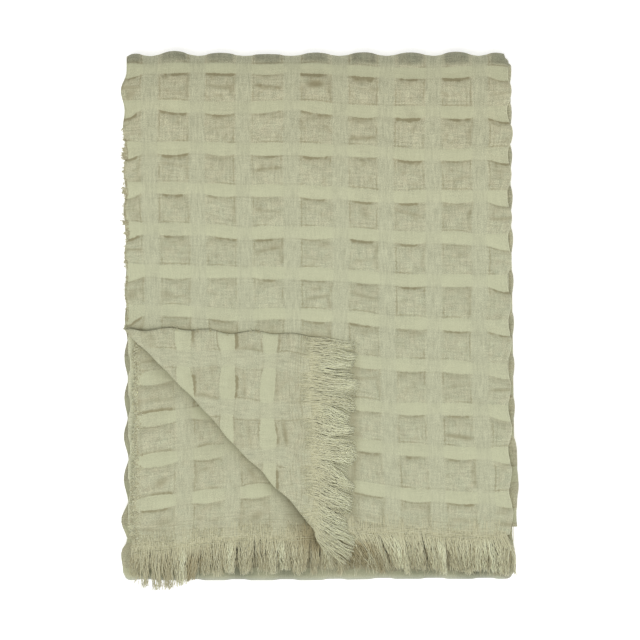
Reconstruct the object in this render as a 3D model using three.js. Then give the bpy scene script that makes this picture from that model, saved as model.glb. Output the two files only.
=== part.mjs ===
// A waffle-woven throw blanket, folded in quarters both ways, with one corner of its top layer turned back.
// Millimetres, +Z up. The stack lies flat: its thick fold is towards +Y, its fringed ends are towards -Y.
import * as THREE from "three";

// Cloth: one layer, and the step from one layer to the next
const CLOTH_THICKNESS = 1.1;
const LAYER_PITCH = 1.7;
const STRIP_PITCH = 4 * LAYER_PITCH;

// Folds across the width: the middles of the turns, and the two selvages
const RIGHT_TURN_X = 158.6;
const LEFT_TURN_X = -162;
const TOP_SELVAGE_X = -166.4;
const UNDER_SELVAGE_X = -154.8;

// Folds along the length: the middles of the turns, and the two woven ends
const FAR_TURN_Y = 215.2;
const NEAR_TURN_Y = -215.4;
const TOP_END_Y = -184.9;
const UNDER_END_Y = -178;

// How far each strip lies to the right, where its run starts and where it ends
const STRIP_SHIFTS = [
  { strip: "second", start: 6.6, end: 2.4 },
  { strip: "third", start: 2.4, end: -4.2 },
  { strip: "bottom", start: -4.2, end: 0 },
  { strip: "top", start: 0, end: 0 },
];

// The top layer is pulled askew and the layer under it slumps at its open corner
const TOP_SKEW = 12.9;
const UNDER_SAG = 12.5;
const UNDER_SAG_REACH = 130;
const UNDER_SAG_RISE = 200;

// Turned-back corner: where its crease meets the selvage and the woven end, and how it lies
const CREASE_START = new THREE.Vector2(TOP_SELVAGE_X, -7);
const CREASE_END = new THREE.Vector2(8.4, TOP_END_Y);
const CREASE_RADIUS = 2.2;
const CREASE_STEPS = 5;
const FLAP_LIFT = 3.2;
const FLAP_SETTLES_IN = 60;

// Waffle: bands of dense warp and weft that stand up around thinner cells
const WARP = { first: 34.8, pitch: 39.9, width: 13, raise: 1 };
const WEFT = { first: 38, pitch: 36.2, width: 10.4, raise: 1.5 };
const FOLD_PUFF = 1.8;
const EDGE_FADE = 6;
const CREASE_FADE = { start: 3, end: 10 };
const STATION_MARGIN = 3;

// Parts of the cloth that show, so they carry the waffle: lengths from the fringed end and the selvage
const SHOWN_LENGTH = 196;
const UNDER_SHOWN_WIDTH = 178;

// Fringe: locks of loose warp on a narrow strip that is parted from the woven end
const STRIP_GAP = 0.5;
const STRIP_WIDTH = 4;
const STRIP_THICKNESS = 0.9;
const LOCK_WIDTH = 1.8;
const LOCK_TIP_WIDTH = 0.6;
const LOCK_LENGTH = { shortest: 24, longest: 30, wave: 0.6, slowWave: 2.7 };
const SHOWN_LOCK_PITCH = 3;
const HIDDEN_LOCK_PITCH = 26;
const LOCK_SWAY = { wide: 2.2, wideWave: 9, narrow: 1, narrowWave: 4.1 };
const LOCK_LEAN = { most: 28, reach: 45 };
const LOCK_DROOP = 0.6;
const FLAP_LOCK_REST = 2.5;
const CREASE_CLEARANCE = 4;
const CREASE_STATIONS = { before: 12, after: 20, step: 1.6 };

const TURN_STEPS = { tight: 4, round: 8 };

const clothMaterial = new THREE.MeshStandardMaterial({ color: 0xbcbc9c, roughness: 0.95, metalness: 0 });
const yarnMaterial = new THREE.MeshStandardMaterial({ color: 0xb0ad8c, roughness: 0.95, metalness: 0 });

const { clamp, euclideanModulo, lerp } = THREE.MathUtils;

// The path of something folded in half and in half again. It starts on the second level, runs out and
// turns under, runs back and turns under again, and comes up around everything to end on the top level.
class QuarterFold {
  constructor(start, runLengths, pitch) {
    const turns = [
      { radius: pitch / 2, sense: -1, steps: TURN_STEPS.tight },
      { radius: pitch / 2, sense: 1, steps: TURN_STEPS.tight },
      { radius: 1.5 * pitch, sense: 1, steps: TURN_STEPS.round },
    ];
    this.pieces = [];
    this.length = 0;
    let place = { along: start, up: pitch / 2, heading: 0 };
    for (const [i, length] of runLengths.entries()) {
      this.addPiece({ ...place, length, sense: 0, steps: 1 });
      place.along += length * Math.cos(place.heading);
      const turn = turns[i];
      if (turn) {
        this.addPiece({ ...place, ...turn, length: Math.PI * turn.radius });
        place.up += 2 * turn.radius * turn.sense * Math.cos(place.heading);
        place.heading += turn.sense * Math.PI;
      }
    }
  }

  addPiece(piece) {
    this.pieces.push({ ...piece, from: this.length, to: this.length + piece.length });
    this.length += piece.length;
  }

  // Which run or turn holds a distance; the first and last runs go on straight past their ends
  indexAt(distance) {
    return Math.max(this.pieces.findLastIndex((piece) => piece.from <= distance), 0);
  }

  // Place and face direction at a distance along the path
  at(distance) {
    const piece = this.pieces[this.indexAt(distance)];
    const { along, up, heading, sense, radius } = piece;
    const travelled = distance - piece.from;
    if (sense === 0) {
      const run = travelled * Math.cos(heading);
      return { along: along + run, up, normalAlong: 0, normalUp: -Math.cos(heading) };
    }
    const angle = heading + (sense * travelled) / radius;
    const reach = sense * radius;
    return {
      along: along + reach * (Math.sin(angle) - Math.sin(heading)),
      up: up + reach * (Math.cos(heading) - Math.cos(angle)),
      normalAlong: Math.sin(angle),
      normalUp: -Math.cos(angle),
    };
  }
}

const leftToRight = RIGHT_TURN_X - LEFT_TURN_X;
const farToNear = FAR_TURN_Y - NEAR_TURN_Y;
const ACROSS = new QuarterFold(
  UNDER_SELVAGE_X,
  [RIGHT_TURN_X - UNDER_SELVAGE_X, leftToRight, leftToRight, RIGHT_TURN_X - TOP_SELVAGE_X],
  LAYER_PITCH,
);
const ALONG = new QuarterFold(
  UNDER_END_Y,
  [FAR_TURN_Y - UNDER_END_Y, farToNear, farToNear, FAR_TURN_Y - TOP_END_Y],
  STRIP_PITCH,
);
const TOP_LAYER = ACROSS.pieces.at(-1);
const UNDER_LAYER = ACROSS.pieces[0];
const TOP_STRIP = ALONG.pieces.at(-1);
const FAR_TURN = ALONG.pieces.at(-2);
const TOP_LEVEL = TOP_STRIP.up + TOP_LAYER.up;
const THIRD_STRIP_TOP = ALONG.pieces[2].up + TOP_LAYER.up + CLOTH_THICKNESS / 2;

// The crease, and the direction from it towards the corner
const creaseRun = CREASE_END.clone().sub(CREASE_START).normalize();
const creaseOut = new THREE.Vector2(creaseRun.y, -creaseRun.x);
const CURL_LENGTH = Math.PI * CREASE_RADIUS;

function pastCrease(x, y) {
  return (x - CREASE_START.x) * creaseOut.x + (y - CREASE_START.y) * creaseOut.y;
}

function isTopLayer(u, v) {
  return u >= TOP_LAYER.from && v >= TOP_STRIP.from;
}

// How far a point of the top layer is past the crease, before the corner is turned back
function flatPast(u, v) {
  const x = RIGHT_TURN_X - (u - TOP_LAYER.from);
  const y = FAR_TURN_Y - (v - TOP_STRIP.from) + pulledAlong(u, v);
  return pastCrease(x, y);
}

function sidewaysShift(v) {
  const index = ALONG.indexAt(v);
  const piece = ALONG.pieces[index];
  const row = STRIP_SHIFTS[Math.floor(index / 2)];
  const share = piece.sense === 0 ? clamp((v - piece.from) / piece.length, 0, 1) : 1;
  return lerp(row.start, row.end, share);
}

// How far the cloth is pulled towards +Y or slumps towards -Y in its own plane
function pulledAlong(u, v) {
  if (v < TOP_STRIP.from) {
    return 0;
  }
  const down = v - TOP_STRIP.from;
  if (u >= TOP_LAYER.from) {
    return (TOP_SKEW * (u - TOP_LAYER.from) * down) / (TOP_LAYER.length * TOP_STRIP.length);
  }
  if (u < UNDER_LAYER.to) {
    const open = 1 - Math.sin((Math.min(u / UNDER_SAG_REACH, 1) * Math.PI) / 2);
    return -UNDER_SAG * open * Math.min(down / UNDER_SAG_RISE, 1);
  }
  return 0;
}

// A point of the cloth, u across its width and v along its length, offset from the middle of its thickness
function clothPoint(u, v, offset) {
  const across = ACROSS.at(u);
  const along = ALONG.at(v);
  const up = across.up + offset * across.normalUp;
  const x = across.along + offset * across.normalAlong + sidewaysShift(v);
  const y = along.along + up * along.normalAlong + pulledAlong(u, v);
  const past = isTopLayer(u, v) ? flatPast(u, v) : 0;
  if (past > 0) {
    return turnedBackPoint(x, y, past, offset);
  }
  return new THREE.Vector3(x, y, along.up + up * along.normalUp);
}

// The corner rolls over the crease and then lies back on the top layer
function turnedBackPoint(x, y, past, offset) {
  const angle = Math.min(past / CREASE_RADIUS, Math.PI);
  const lying = Math.max(past - CURL_LENGTH, 0);
  const settled = THREE.MathUtils.smoothstep(lying, 0, FLAP_SETTLES_IN) * (2 * CREASE_RADIUS - FLAP_LIFT);
  const move = (CREASE_RADIUS - offset) * Math.sin(angle) - lying - past;
  const lift = CREASE_RADIUS - (CREASE_RADIUS - offset) * Math.cos(angle) - settled;
  return new THREE.Vector3(x + creaseOut.x * move, y + creaseOut.y * move, TOP_LEVEL + lift);
}

// 1 on a band, falling evenly to 0 in the middle of a cell
function bandShare(distance, band) {
  const half = band.pitch / 2;
  const offBand = Math.abs(euclideanModulo(distance - band.first + half, band.pitch) - half);
  return 1 - clamp((offBand - band.width / 2) / (half - band.width / 2), 0, 1);
}

// Weft bands are counted from the woven end that lies on top
function weftShare(v) {
  return bandShare(ALONG.length - v, WEFT);
}

function waffleHeight(u, v) {
  return Math.max(WARP.raise * bandShare(u, WARP), WEFT.raise * weftShare(v));
}

// The waffle flattens beside the crease
function awayFromCrease(distance) {
  return clamp((distance - CREASE_FADE.start) / (CREASE_FADE.end - CREASE_FADE.start), 0, 1);
}

// Face side: the waffle of the top layer, and the cells that puff out over the thick far fold
function faceOffset(u, v) {
  const half = CLOTH_THICKNESS / 2;
  if (u < TOP_LAYER.from || v < FAR_TURN.from) {
    return half;
  }
  const besideTurn = clamp((u - TOP_LAYER.from) / EDGE_FADE, 0, 1);
  if (v < TOP_STRIP.from) {
    const round = Math.sin((Math.PI * (v - FAR_TURN.from)) / FAR_TURN.length);
    return half + FOLD_PUFF * round * (1 - bandShare(u, WARP)) * besideTurn;
  }
  const belowTurn = clamp((v - TOP_STRIP.from) / EDGE_FADE, 0, 1);
  return half + waffleHeight(u, v) * besideTurn * belowTurn * awayFromCrease(-flatPast(u, v));
}

// Back side: the waffle of the turned-back corner, and of the layer that it uncovers
function backOffset(u, v) {
  const half = -CLOTH_THICKNESS / 2;
  if (v < TOP_STRIP.from) {
    return half;
  }
  if (u < UNDER_SHOWN_WIDTH) {
    const { x, y } = clothPoint(u, v, 0);
    return half - waffleHeight(u, v) * awayFromCrease(pastCrease(x, y) - CREASE_RADIUS);
  }
  if (u >= TOP_LAYER.from) {
    return half - waffleHeight(u, v) * awayFromCrease(flatPast(u, v) - CURL_LENGTH);
  }
  return half;
}

// Edges of the bands and middles of the cells within a span
function waffleStations(from, to, firstBand, band) {
  const stations = [from];
  const lowest = Math.floor((from - firstBand) / band.pitch) - 1;
  const highest = Math.ceil((to - firstBand) / band.pitch) + 1;
  for (let i = lowest; i <= highest; i++) {
    const middle = firstBand + i * band.pitch;
    stations.push(middle - band.width / 2, middle + band.width / 2, middle + band.pitch / 2);
  }
  const inside = stations.filter((s) => s > from + STATION_MARGIN && s < to - STATION_MARGIN);
  return [from, ...inside, to];
}

function evenStations(from, to, steps) {
  return Array.from({ length: steps + 1 }, (_, i) => lerp(from, to, i / steps));
}

// Spans of the cloth between its folds; the first layer and the top strip are parted where they show
function cutSpans(path, cutIndex, cutAt, band, firstBand) {
  return path.pieces.flatMap((piece, index) => {
    const isTurn = piece.sense !== 0;
    const ends = index === cutIndex ? [piece.from, cutAt, piece.to] : [piece.from, piece.to];
    return ends.slice(1).map((to, i) => ({
      isTurn,
      plain: evenStations(ends[i], to, piece.steps),
      waffled: isTurn ? evenStations(ends[i], to, piece.steps) : waffleStations(ends[i], to, firstBand, band),
    }));
  });
}

const acrossSpans = cutSpans(ACROSS, 0, UNDER_SHOWN_WIDTH, WARP, WARP.first);
const alongSpans = cutSpans(
  ALONG,
  ALONG.pieces.length - 1,
  ALONG.length - SHOWN_LENGTH,
  WEFT,
  ALONG.length - WEFT.first,
);
const SPAN = {
  underShown: 0,
  rightTurn: acrossSpans.length - 2,
  topLayer: acrossSpans.length - 1,
  farTurn: alongSpans.length - 3,
  topUpper: alongSpans.length - 2,
  topLower: alongSpans.length - 1,
};

// Which blocks of spans carry the waffle's lines across the width and along the length, on each side
function finelyCut(side, i, j) {
  if (!acrossSpans[i] || !alongSpans[j]) {
    return { across: false, along: false };
  }
  const lower = j === SPAN.topLower;
  if (side === "face") {
    const top = j >= SPAN.topUpper;
    const across = i === SPAN.topLayer && j >= SPAN.farTurn;
    return { across, along: top && i >= SPAN.rightTurn };
  }
  const shown = lower && (i === SPAN.underShown || i === SPAN.topLayer);
  return { across: shown, along: shown || (lower && i === SPAN.rightTurn) };
}

// One side of the cloth: points that are shared by their place on the flat cloth, and triangles
class ClothSide {
  constructor(name, offsetAt) {
    this.name = name;
    this.offsetAt = offsetAt;
    this.places = [];
    this.indices = new Map();
    this.triangles = [];
  }

  point({ u, v }) {
    const key = `${u.toFixed(4)} ${v.toFixed(4)}`;
    if (!this.indices.has(key)) {
      this.indices.set(key, this.places.length);
      this.places.push({ key, u, v, offset: this.offsetAt(u, v) });
    }
    return this.indices.get(key);
  }

  // A convex outline, cut into triangles from its lowest corner so that each cell is a clean hollow
  fan(outline) {
    const corners = outline.map((place) => this.point(place));
    const height = (corner) => Math.abs(this.places[corner].offset);
    const lowest = corners.reduce((best, _, i) => (height(corners[i]) < height(corners[best]) ? i : best), 0);
    for (let k = 1; k < corners.length - 1; k++) {
      const next = corners[(lowest + k) % corners.length];
      const after = corners[(lowest + k + 1) % corners.length];
      this.addTriangle(corners[lowest], next, after);
    }
  }

  addTriangle(a, b, c) {
    if (a !== b && b !== c && c !== a) {
      this.triangles.push([a, b, c]);
    }
  }

  // A plain block: triangles from its middle to every point of its rim
  wheel(rim) {
    const u = (rim[0].u + Math.max(...rim.map((place) => place.u))) / 2;
    const v = (rim[0].v + Math.max(...rim.map((place) => place.v))) / 2;
    const hub = this.point({ u, v });
    const around = rim.map((place) => this.point(place));
    around.forEach((corner, k) => this.addTriangle(hub, corner, around[(k + 1) % around.length]));
  }
}

// Cuts a convex outline along a line parallel to the crease
function cutOutline(outline, limit) {
  const near = [];
  const far = [];
  outline.forEach((place, k) => {
    const next = outline[(k + 1) % outline.length];
    (place.past <= limit ? near : far).push(place);
    if (place.past <= limit !== next.past <= limit) {
      const share = (limit - place.past) / (next.past - place.past);
      const cut = { u: lerp(place.u, next.u, share), v: lerp(place.v, next.v, share), past: limit };
      near.push(cut);
      far.push(cut);
    }
  });
  return [near, far].filter((part) => part.length > 2);
}

function cutAtCrease(outline) {
  let pieces = [outline.map(({ u, v }) => ({ u, v, past: flatPast(u, v) }))];
  for (const limit of evenStations(0, CURL_LENGTH, CREASE_STEPS)) {
    pieces = pieces.flatMap((piece) => cutOutline(piece, limit));
  }
  return pieces;
}

function gridBlock(side, us, vs, creased) {
  for (let j = 0; j < vs.length - 1; j++) {
    for (let i = 0; i < us.length - 1; i++) {
      const outline = [
        { u: us[i], v: vs[j] },
        { u: us[i + 1], v: vs[j] },
        { u: us[i + 1], v: vs[j + 1] },
        { u: us[i], v: vs[j + 1] },
      ];
      const pieces = creased ? cutAtCrease(outline) : [outline];
      pieces.forEach((piece) => side.fan(piece));
    }
  }
}

// The stations on one edge of a plain block follow its neighbour, and at the cloth's rim its other side
function edgeStations(side, i, j, towards) {
  const direction = towards.di ? "along" : "across";
  const span = towards.di ? alongSpans[j] : acrossSpans[i];
  const outside = !acrossSpans[i + towards.di] || !alongSpans[j + towards.dj];
  const otherSide = side === "face" ? "back" : "face";
  const fine = outside
    ? finelyCut(side, i, j)[direction] || finelyCut(otherSide, i, j)[direction]
    : finelyCut(side, i + towards.di, j + towards.dj)[direction];
  return fine ? span.waffled : span.plain;
}

function plainBlock(side, i, j) {
  const [left, right] = [acrossSpans[i].plain[0], acrossSpans[i].plain.at(-1)];
  const [low, high] = [alongSpans[j].plain[0], alongSpans[j].plain.at(-1)];
  const bottom = edgeStations(side.name, i, j, { di: 0, dj: -1 }).map((u) => ({ u, v: low }));
  const east = edgeStations(side.name, i, j, { di: 1, dj: 0 }).map((v) => ({ u: right, v }));
  const top = edgeStations(side.name, i, j, { di: 0, dj: 1 }).map((u) => ({ u, v: high }));
  const west = edgeStations(side.name, i, j, { di: -1, dj: 0 }).map((v) => ({ u: left, v }));
  const edges = [bottom, east, top.reverse(), west.reverse()];
  side.wheel(edges.flatMap((edge) => edge.slice(0, -1)));
}

function fillSide(side) {
  for (const [j, alongSpan] of alongSpans.entries()) {
    for (const [i, acrossSpan] of acrossSpans.entries()) {
      const fine = finelyCut(side.name, i, j);
      if (fine.across || fine.along || acrossSpan.isTurn || alongSpan.isTurn) {
        const us = fine.across ? acrossSpan.waffled : acrossSpan.plain;
        const vs = fine.along ? alongSpan.waffled : alongSpan.plain;
        gridBlock(side, us, vs, i === SPAN.topLayer && j === SPAN.topLower);
      } else {
        plainBlock(side, i, j);
      }
    }
  }
}

// Edges that belong to one triangle only, which is the rim of the cloth
function rimEdges(side) {
  const edges = new Map();
  for (const triangle of side.triangles) {
    triangle.forEach((a, k) => {
      const b = triangle[(k + 1) % 3];
      if (!edges.delete(`${b} ${a}`)) {
        edges.set(`${a} ${b}`, [a, b]);
      }
    });
  }
  return [...edges.values()];
}

function closedGeometry(points, triangles) {
  const geometry = new THREE.BufferGeometry().setFromPoints(points);
  geometry.setIndex(triangles.flat());
  geometry.computeVertexNormals();
  return geometry;
}

// The whole cloth: its two sides, joined round the rim
function clothGeometry() {
  const face = new ClothSide("face", faceOffset);
  const back = new ClothSide("back", backOffset);
  fillSide(face);
  fillSide(back);
  const places = [...face.places, ...back.places];
  const points = places.map(({ u, v, offset }) => clothPoint(u, v, offset));
  const first = face.places.length;
  const triangles = [...face.triangles];
  for (const [a, b, c] of back.triangles) {
    triangles.push([first + a, first + c, first + b]);
  }
  for (const [a, b] of rimEdges(face)) {
    const backA = first + back.indices.get(face.places[a].key);
    const backB = first + back.indices.get(face.places[b].key);
    triangles.push([b, a, backA], [b, backA, backB]);
  }
  return closedGeometry(points, triangles);
}

// Lock roots along a woven end, as pairs of stations, clear of the turns and of the crease
function lockRoots(edge, stretches) {
  const roots = [];
  for (const { from, to, pitch } of stretches) {
    for (let u = from + LOCK_WIDTH; u < to - 2 * LOCK_WIDTH; u += pitch) {
      const runs = [u, u + LOCK_WIDTH].every((end) => ACROSS.pieces[ACROSS.indexAt(end)].sense === 0);
      const past = isTopLayer(u, edge) ? flatPast(u, edge) : -Infinity;
      const atCrease = past > -CREASE_CLEARANCE && past < CURL_LENGTH + CREASE_CLEARANCE;
      if (runs && !atCrease) {
        roots.push(u);
      }
    }
  }
  return roots;
}

// Locks sway together in waves, and beside the crease they lean away from it
function lockSway(u, edge) {
  const { wide, wideWave, narrow, narrowWave } = LOCK_SWAY;
  const sway = wide * Math.sin(u / wideWave) + narrow * Math.sin(u / narrowWave);
  const past = isTopLayer(u, edge) ? flatPast(u, edge) : Infinity;
  if (past > 0) {
    return sway;
  }
  return sway * clamp(-past / LOCK_LEAN.reach, 0, 1) - LOCK_LEAN.most * Math.exp(past / LOCK_LEAN.reach);
}

// A lock's tip comes down towards what lies under it: the third strip, or the top layer on the corner
function lockTip(u, v, edge) {
  const onFlap = isTopLayer(u, edge) && flatPast(u, edge) > 0;
  const rest = onFlap ? TOP_LEVEL + FLAP_LOCK_REST : THIRD_STRIP_TOP;
  const tip = clothPoint(u, v, 0);
  return tip.setZ(lerp(tip.z, rest, LOCK_DROOP));
}

function lockLength(u) {
  const { shortest, longest, wave, slowWave } = LOCK_LENGTH;
  const uneven = (1 + Math.sin(u / wave) * Math.cos(u / slowWave)) / 2;
  return lerp(shortest, longest, uneven);
}

// The strip bends over the crease in short steps
function stationsAtCrease() {
  const { before, after, step } = CREASE_STATIONS;
  const crossing = TOP_LAYER.from + RIGHT_TURN_X - CREASE_END.x;
  return evenStations(crossing - before, crossing + after, Math.round((before + after) / step));
}

// A strip along a woven end with its locks; outward is +1 past the end of the length and -1 before its start
function fringeGeometry(edge, outward, stretches) {
  const near = edge + outward * STRIP_GAP;
  const root = near + outward * STRIP_WIDTH;
  const half = STRIP_THICKNESS / 2;
  const roots = lockRoots(edge, stretches);
  const turnStations = ACROSS.pieces
    .filter((piece) => piece.sense !== 0)
    .flatMap((piece) => evenStations(piece.from, piece.to, piece.steps));
  const creaseStations = outward > 0 ? stationsAtCrease() : [];
  const used = roots.flatMap((u) => [u, u + LOCK_WIDTH]);
  const clear = (s) => used.every((u) => Math.abs(u - s) > LOCK_WIDTH / 2);
  const extra = [0, ...turnStations, ...creaseStations, ACROSS.length].filter(clear);
  const stations = [...used, ...extra].sort((a, b) => a - b);
  const rootSet = new Set(roots);

  const points = [];
  const triangles = [];
  const quad = (a, b, c, d) => triangles.push([a, b, c], [a, c, d]);
  for (const u of stations) {
    points.push(clothPoint(u, near, half), clothPoint(u, root, half));
    points.push(clothPoint(u, root, -half), clothPoint(u, near, -half));
  }
  const ring = (k) => [4 * k, 4 * k + 1, 4 * k + 2, 4 * k + 3];
  stations.slice(0, -1).forEach((u, k) => {
    const [nearFace, rootFace, rootBack, nearBack] = ring(k);
    const [nextNearFace, nextRootFace, nextRootBack, nextNearBack] = ring(k + 1);
    quad(nearFace, nextNearFace, nextRootFace, rootFace);
    quad(nearBack, rootBack, nextRootBack, nextNearBack);
    quad(nearFace, nearBack, nextNearBack, nextNearFace);
    if (!rootSet.has(u)) {
      quad(rootFace, nextRootFace, nextRootBack, rootBack);
      return;
    }
    const tip = root + outward * lockLength(u);
    const tipMiddle = u + LOCK_WIDTH / 2 + lockSway(u, edge);
    const first = points.length;
    points.push(lockTip(tipMiddle - LOCK_TIP_WIDTH / 2, tip, edge));
    points.push(lockTip(tipMiddle + LOCK_TIP_WIDTH / 2, tip, edge));
    quad(rootFace, nextRootFace, first + 1, first);
    quad(nextRootBack, rootBack, first, first + 1);
    triangles.push([rootFace, first, rootBack], [nextRootBack, first + 1, nextRootFace]);
  });
  const [startNearFace, startRootFace, startRootBack, startNearBack] = ring(0);
  const [endNearFace, endRootFace, endRootBack, endNearBack] = ring(stations.length - 1);
  quad(startNearFace, startRootFace, startRootBack, startNearBack);
  quad(endNearBack, endRootBack, endRootFace, endNearFace);
  const facingOut = outward > 0 ? triangles : triangles.map(([a, b, c]) => [a, c, b]);
  return closedGeometry(points, facingOut);
}

function namedMesh(name, geometry, material) {
  const mesh = new THREE.Mesh(geometry, material);
  mesh.name = name;
  return mesh;
}

const topStretches = [
  { from: 0, to: UNDER_SHOWN_WIDTH, pitch: SHOWN_LOCK_PITCH },
  { from: UNDER_SHOWN_WIDTH, to: TOP_LAYER.from, pitch: HIDDEN_LOCK_PITCH },
  { from: TOP_LAYER.from, to: ACROSS.length, pitch: SHOWN_LOCK_PITCH },
];
const underStretches = [{ from: 0, to: ACROSS.length, pitch: HIDDEN_LOCK_PITCH }];

const blanket = new THREE.Group();
blanket.add(
  namedMesh("cloth", clothGeometry(), clothMaterial),
  namedMesh("fringe_top_end", fringeGeometry(ALONG.length, 1, topStretches), yarnMaterial),
  namedMesh("fringe_under_end", fringeGeometry(0, -1, underStretches), yarnMaterial),
);

// The origin is under the middle of the folded blanket, on the surface that it lies on
const box = new THREE.Box3().setFromObject(blanket);
const middle = box.getCenter(new THREE.Vector3());
blanket.position.set(-middle.x, -middle.y, -box.min.z);

export default blanket;
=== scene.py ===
"""Looks of a folded waffle throw blanket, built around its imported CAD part.

The cloth is one closed sheet that follows the part's folds, with the waffle's relief on the sides that show.
Its two fringes are loose yarns at the woven ends. Sizes are in millimetres until a mesh is made.
"""
import math
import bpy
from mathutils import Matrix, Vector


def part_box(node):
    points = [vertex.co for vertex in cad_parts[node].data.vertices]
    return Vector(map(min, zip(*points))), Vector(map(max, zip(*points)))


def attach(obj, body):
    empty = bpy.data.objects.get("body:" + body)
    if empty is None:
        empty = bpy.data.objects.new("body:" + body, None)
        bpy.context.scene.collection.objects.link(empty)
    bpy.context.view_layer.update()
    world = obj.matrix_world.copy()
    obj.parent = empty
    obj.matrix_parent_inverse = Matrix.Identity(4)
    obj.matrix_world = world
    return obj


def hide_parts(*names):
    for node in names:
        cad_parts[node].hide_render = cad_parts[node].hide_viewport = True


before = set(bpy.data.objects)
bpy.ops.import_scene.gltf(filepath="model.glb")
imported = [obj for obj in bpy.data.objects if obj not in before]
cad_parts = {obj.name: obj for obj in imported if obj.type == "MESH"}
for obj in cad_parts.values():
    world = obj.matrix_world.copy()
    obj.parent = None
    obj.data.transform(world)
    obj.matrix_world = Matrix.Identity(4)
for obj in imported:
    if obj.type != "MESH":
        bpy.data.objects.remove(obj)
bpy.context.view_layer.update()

from types import SimpleNamespace

import bpy
import numpy as np

MM = 0.001

# Folded cloth, with the same sizes as the part
CLOTH_THICKNESS = 1.1
LAYER_PITCH = 1.7
STRIP_PITCH = 4 * LAYER_PITCH
RIGHT_TURN_X = 158.6
LEFT_TURN_X = -162.0
TOP_SELVAGE_X = -166.4
UNDER_SELVAGE_X = -154.8
FAR_TURN_Y = 215.2
NEAR_TURN_Y = -215.4
TOP_END_Y = -184.9
UNDER_END_Y = -178.0
SHIFT_STARTS = np.array([6.6, 2.4, -4.2, 0.0])
SHIFT_ENDS = np.array([2.4, -4.2, 0.0, 0.0])
TOP_SKEW = 12.9
UNDER_SAG = 12.5
UNDER_SAG_REACH = 130.0
UNDER_SAG_RISE = 200.0
UNDER_SPREAD = (4.8, 7.6)
CREASE_START = np.array([TOP_SELVAGE_X, -7.0])
CREASE_END = np.array([8.4, TOP_END_Y])
CREASE_RADIUS = 2.2
FLAP_LIFT = 3.2
FLAP_SETTLES_IN = 60.0
FLAP_WIDENING = (3.2, 1.3)
FLAP_DROOP = 1.2
EDGE_SHADE_X = -120.4
SHOWN_LENGTH = 196.0
NEAR_SHOWN = 50.0
UNDER_SHOWN_WIDTH = 178.0

# Waffle: bands of dense warp and weft round thin, loose cells
WARP_FIRST, WARP_PITCH, WARP_WIDTH = 34.8, 39.9, 13.0
WEFT_FIRST, WEFT_PITCH, WEFT_WIDTH = 38.0, 36.2, 10.4
PLAIN_END = 24.0
WARP_HEIGHT = 0.35
WEFT_HEIGHT = 0.4
WEFT_CROWN = 0.5
CELL_PUFF = (0.6, 1.9)
CELL_POCKET = (0.1, 0.75)
BAND_WANDER = 1.05
WEFT_SAG = (-0.8, 1.5)
COLUMNS_ASIDE_LEFT = (-0.9, 1.7)
COLUMNS_ASIDE_RIGHT = (3.2, 8.7)
ROWS_LOWER_RIGHT = 5.2
ROWS_LOWER_LEFT = 1.7
UNDER_COLUMNS_ASIDE = -5.0
FLAP_ROWS_SPREAD = 0.047
END_RIB_PITCH = 2.5
STROKE_STRENGTH = (0.3, 1.8)
STROKE_DEPTH = (3.2, 9.0)
STROKE_SLOPE = 6.5
ROWS_TILT = 3.7
FAR_FOLD_PUFFS = np.array([4.1, 3.0, 2.7, 2.5, 2.4, 1.0, 2.1, 3.8, 3.6])
FOLD_DIP = 0.8
CORNER_TUCK = 4.5
NEAR_FLARE = 10.4
NEAR_FLARE_REACH = 70.0
NEAR_CORNER_ROUND = 7.0
NEAR_SLUMP = (1.1, 2.3)
FAR_CORNER = 3.4
RIGHT_WAVE = (1.2, 2.1)
RIGHT_BULGE = (0.9, 2.4)
RIGHT_TUCK = 1.8
RIGHT_OPEN_BULGE = (1.2, 3.2)
LEFT_SCALLOP = (4.2, 6.4)
LEFT_SCALLOP_PITCH = 34.4
LEFT_SCALLOP_FIRST = 653.5
LEFT_TUCK = 1.6
CREASE_WAVE = 0.6
CREASE_BEND = 2.4
CREASE_BEND_REACH = 48.0
CREASE_BOW = (1.3, 1.6)
RIGHT_EDGE_PUFF = 0.9
LEFT_EDGE_PUFF = 1.8
FIRST_ROW_NARROWS = 3.5
SELVAGE_FAN = 5.0
RIGHT_FAN = 3.2
SELVAGE_TAPER = 0.45
TUFTS = ((75.0, 11.0), (108.0, 7.0), (136.0, 4.0), (145.0, 3.0))
SELVAGE_WAVE = (1.0, 3.4)
SELVAGE_WAVE_FADES = 150.0
END_WAVE = 1.3

# Main hollows between the puffed cells, dented and painted with shade: middle, half sizes, slope and depth
TOP_HOLLOWS = (
    (-4, 203, 8, 3.2, 0, 1.0), (38, 175, 11, 5.5, 0.15, 0.7), (-4, 175, 10, 4, 0.3, 0.4),
    (-4, 27, 5.5, 2, 0, 0.4), (39, 91, 5, 6, -0.2, 0.35), (-163, 194, 6, 6, 0.8, 0.45),
    (-156, 120, 7, 5, 0.4, 0.35), (-162, 21, 6, 5, 0.2, 0.45), (-132, 22, 5, 5, -0.2, 0.4),
)
UNDER_HOLLOWS = (
    (-137, -140, 6, 4, 0.5, 0.55), (-55, -169, 8, 5, 0.4, 0.5), (-59, -131, 5, 4, -0.9, 0.45),
    (-99, -128, 6, 2.2, 0.15, 0.45), (-134, -174, 10, 5, 0.2, 0.4), (-56, -140, 6, 6, 0, 0.35),
)
HOLLOW_DENT = 0.8

# Shade painted in the cloth's colour round its folds, along its edges and beside the turned-back corner;
# highlights painted on fold rims
FAR_SHADE = (0.38, 0.5)
NEAR_SHADE = 0.95
RIGHT_SHADE = 0.46
LEFT_SHADE = (0.3, 0.25)
RIM_HIGHLIGHTS = (0.16, 0.3)
COVERED_SHADE = 0.38
FRINGE_SHADE = (0.38, 0.22)
EDGE_DUSK = (0.2, 0.6)
TIP_DUSK = 0.4
CREASE_DUSK = (0.26, 0.1, 0.4)
CREASE_DUSK_REACH = 15.0
CREASE_DIM = (0.25, 0.75)
CREASE_DIM_REACH = 8.0

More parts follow.
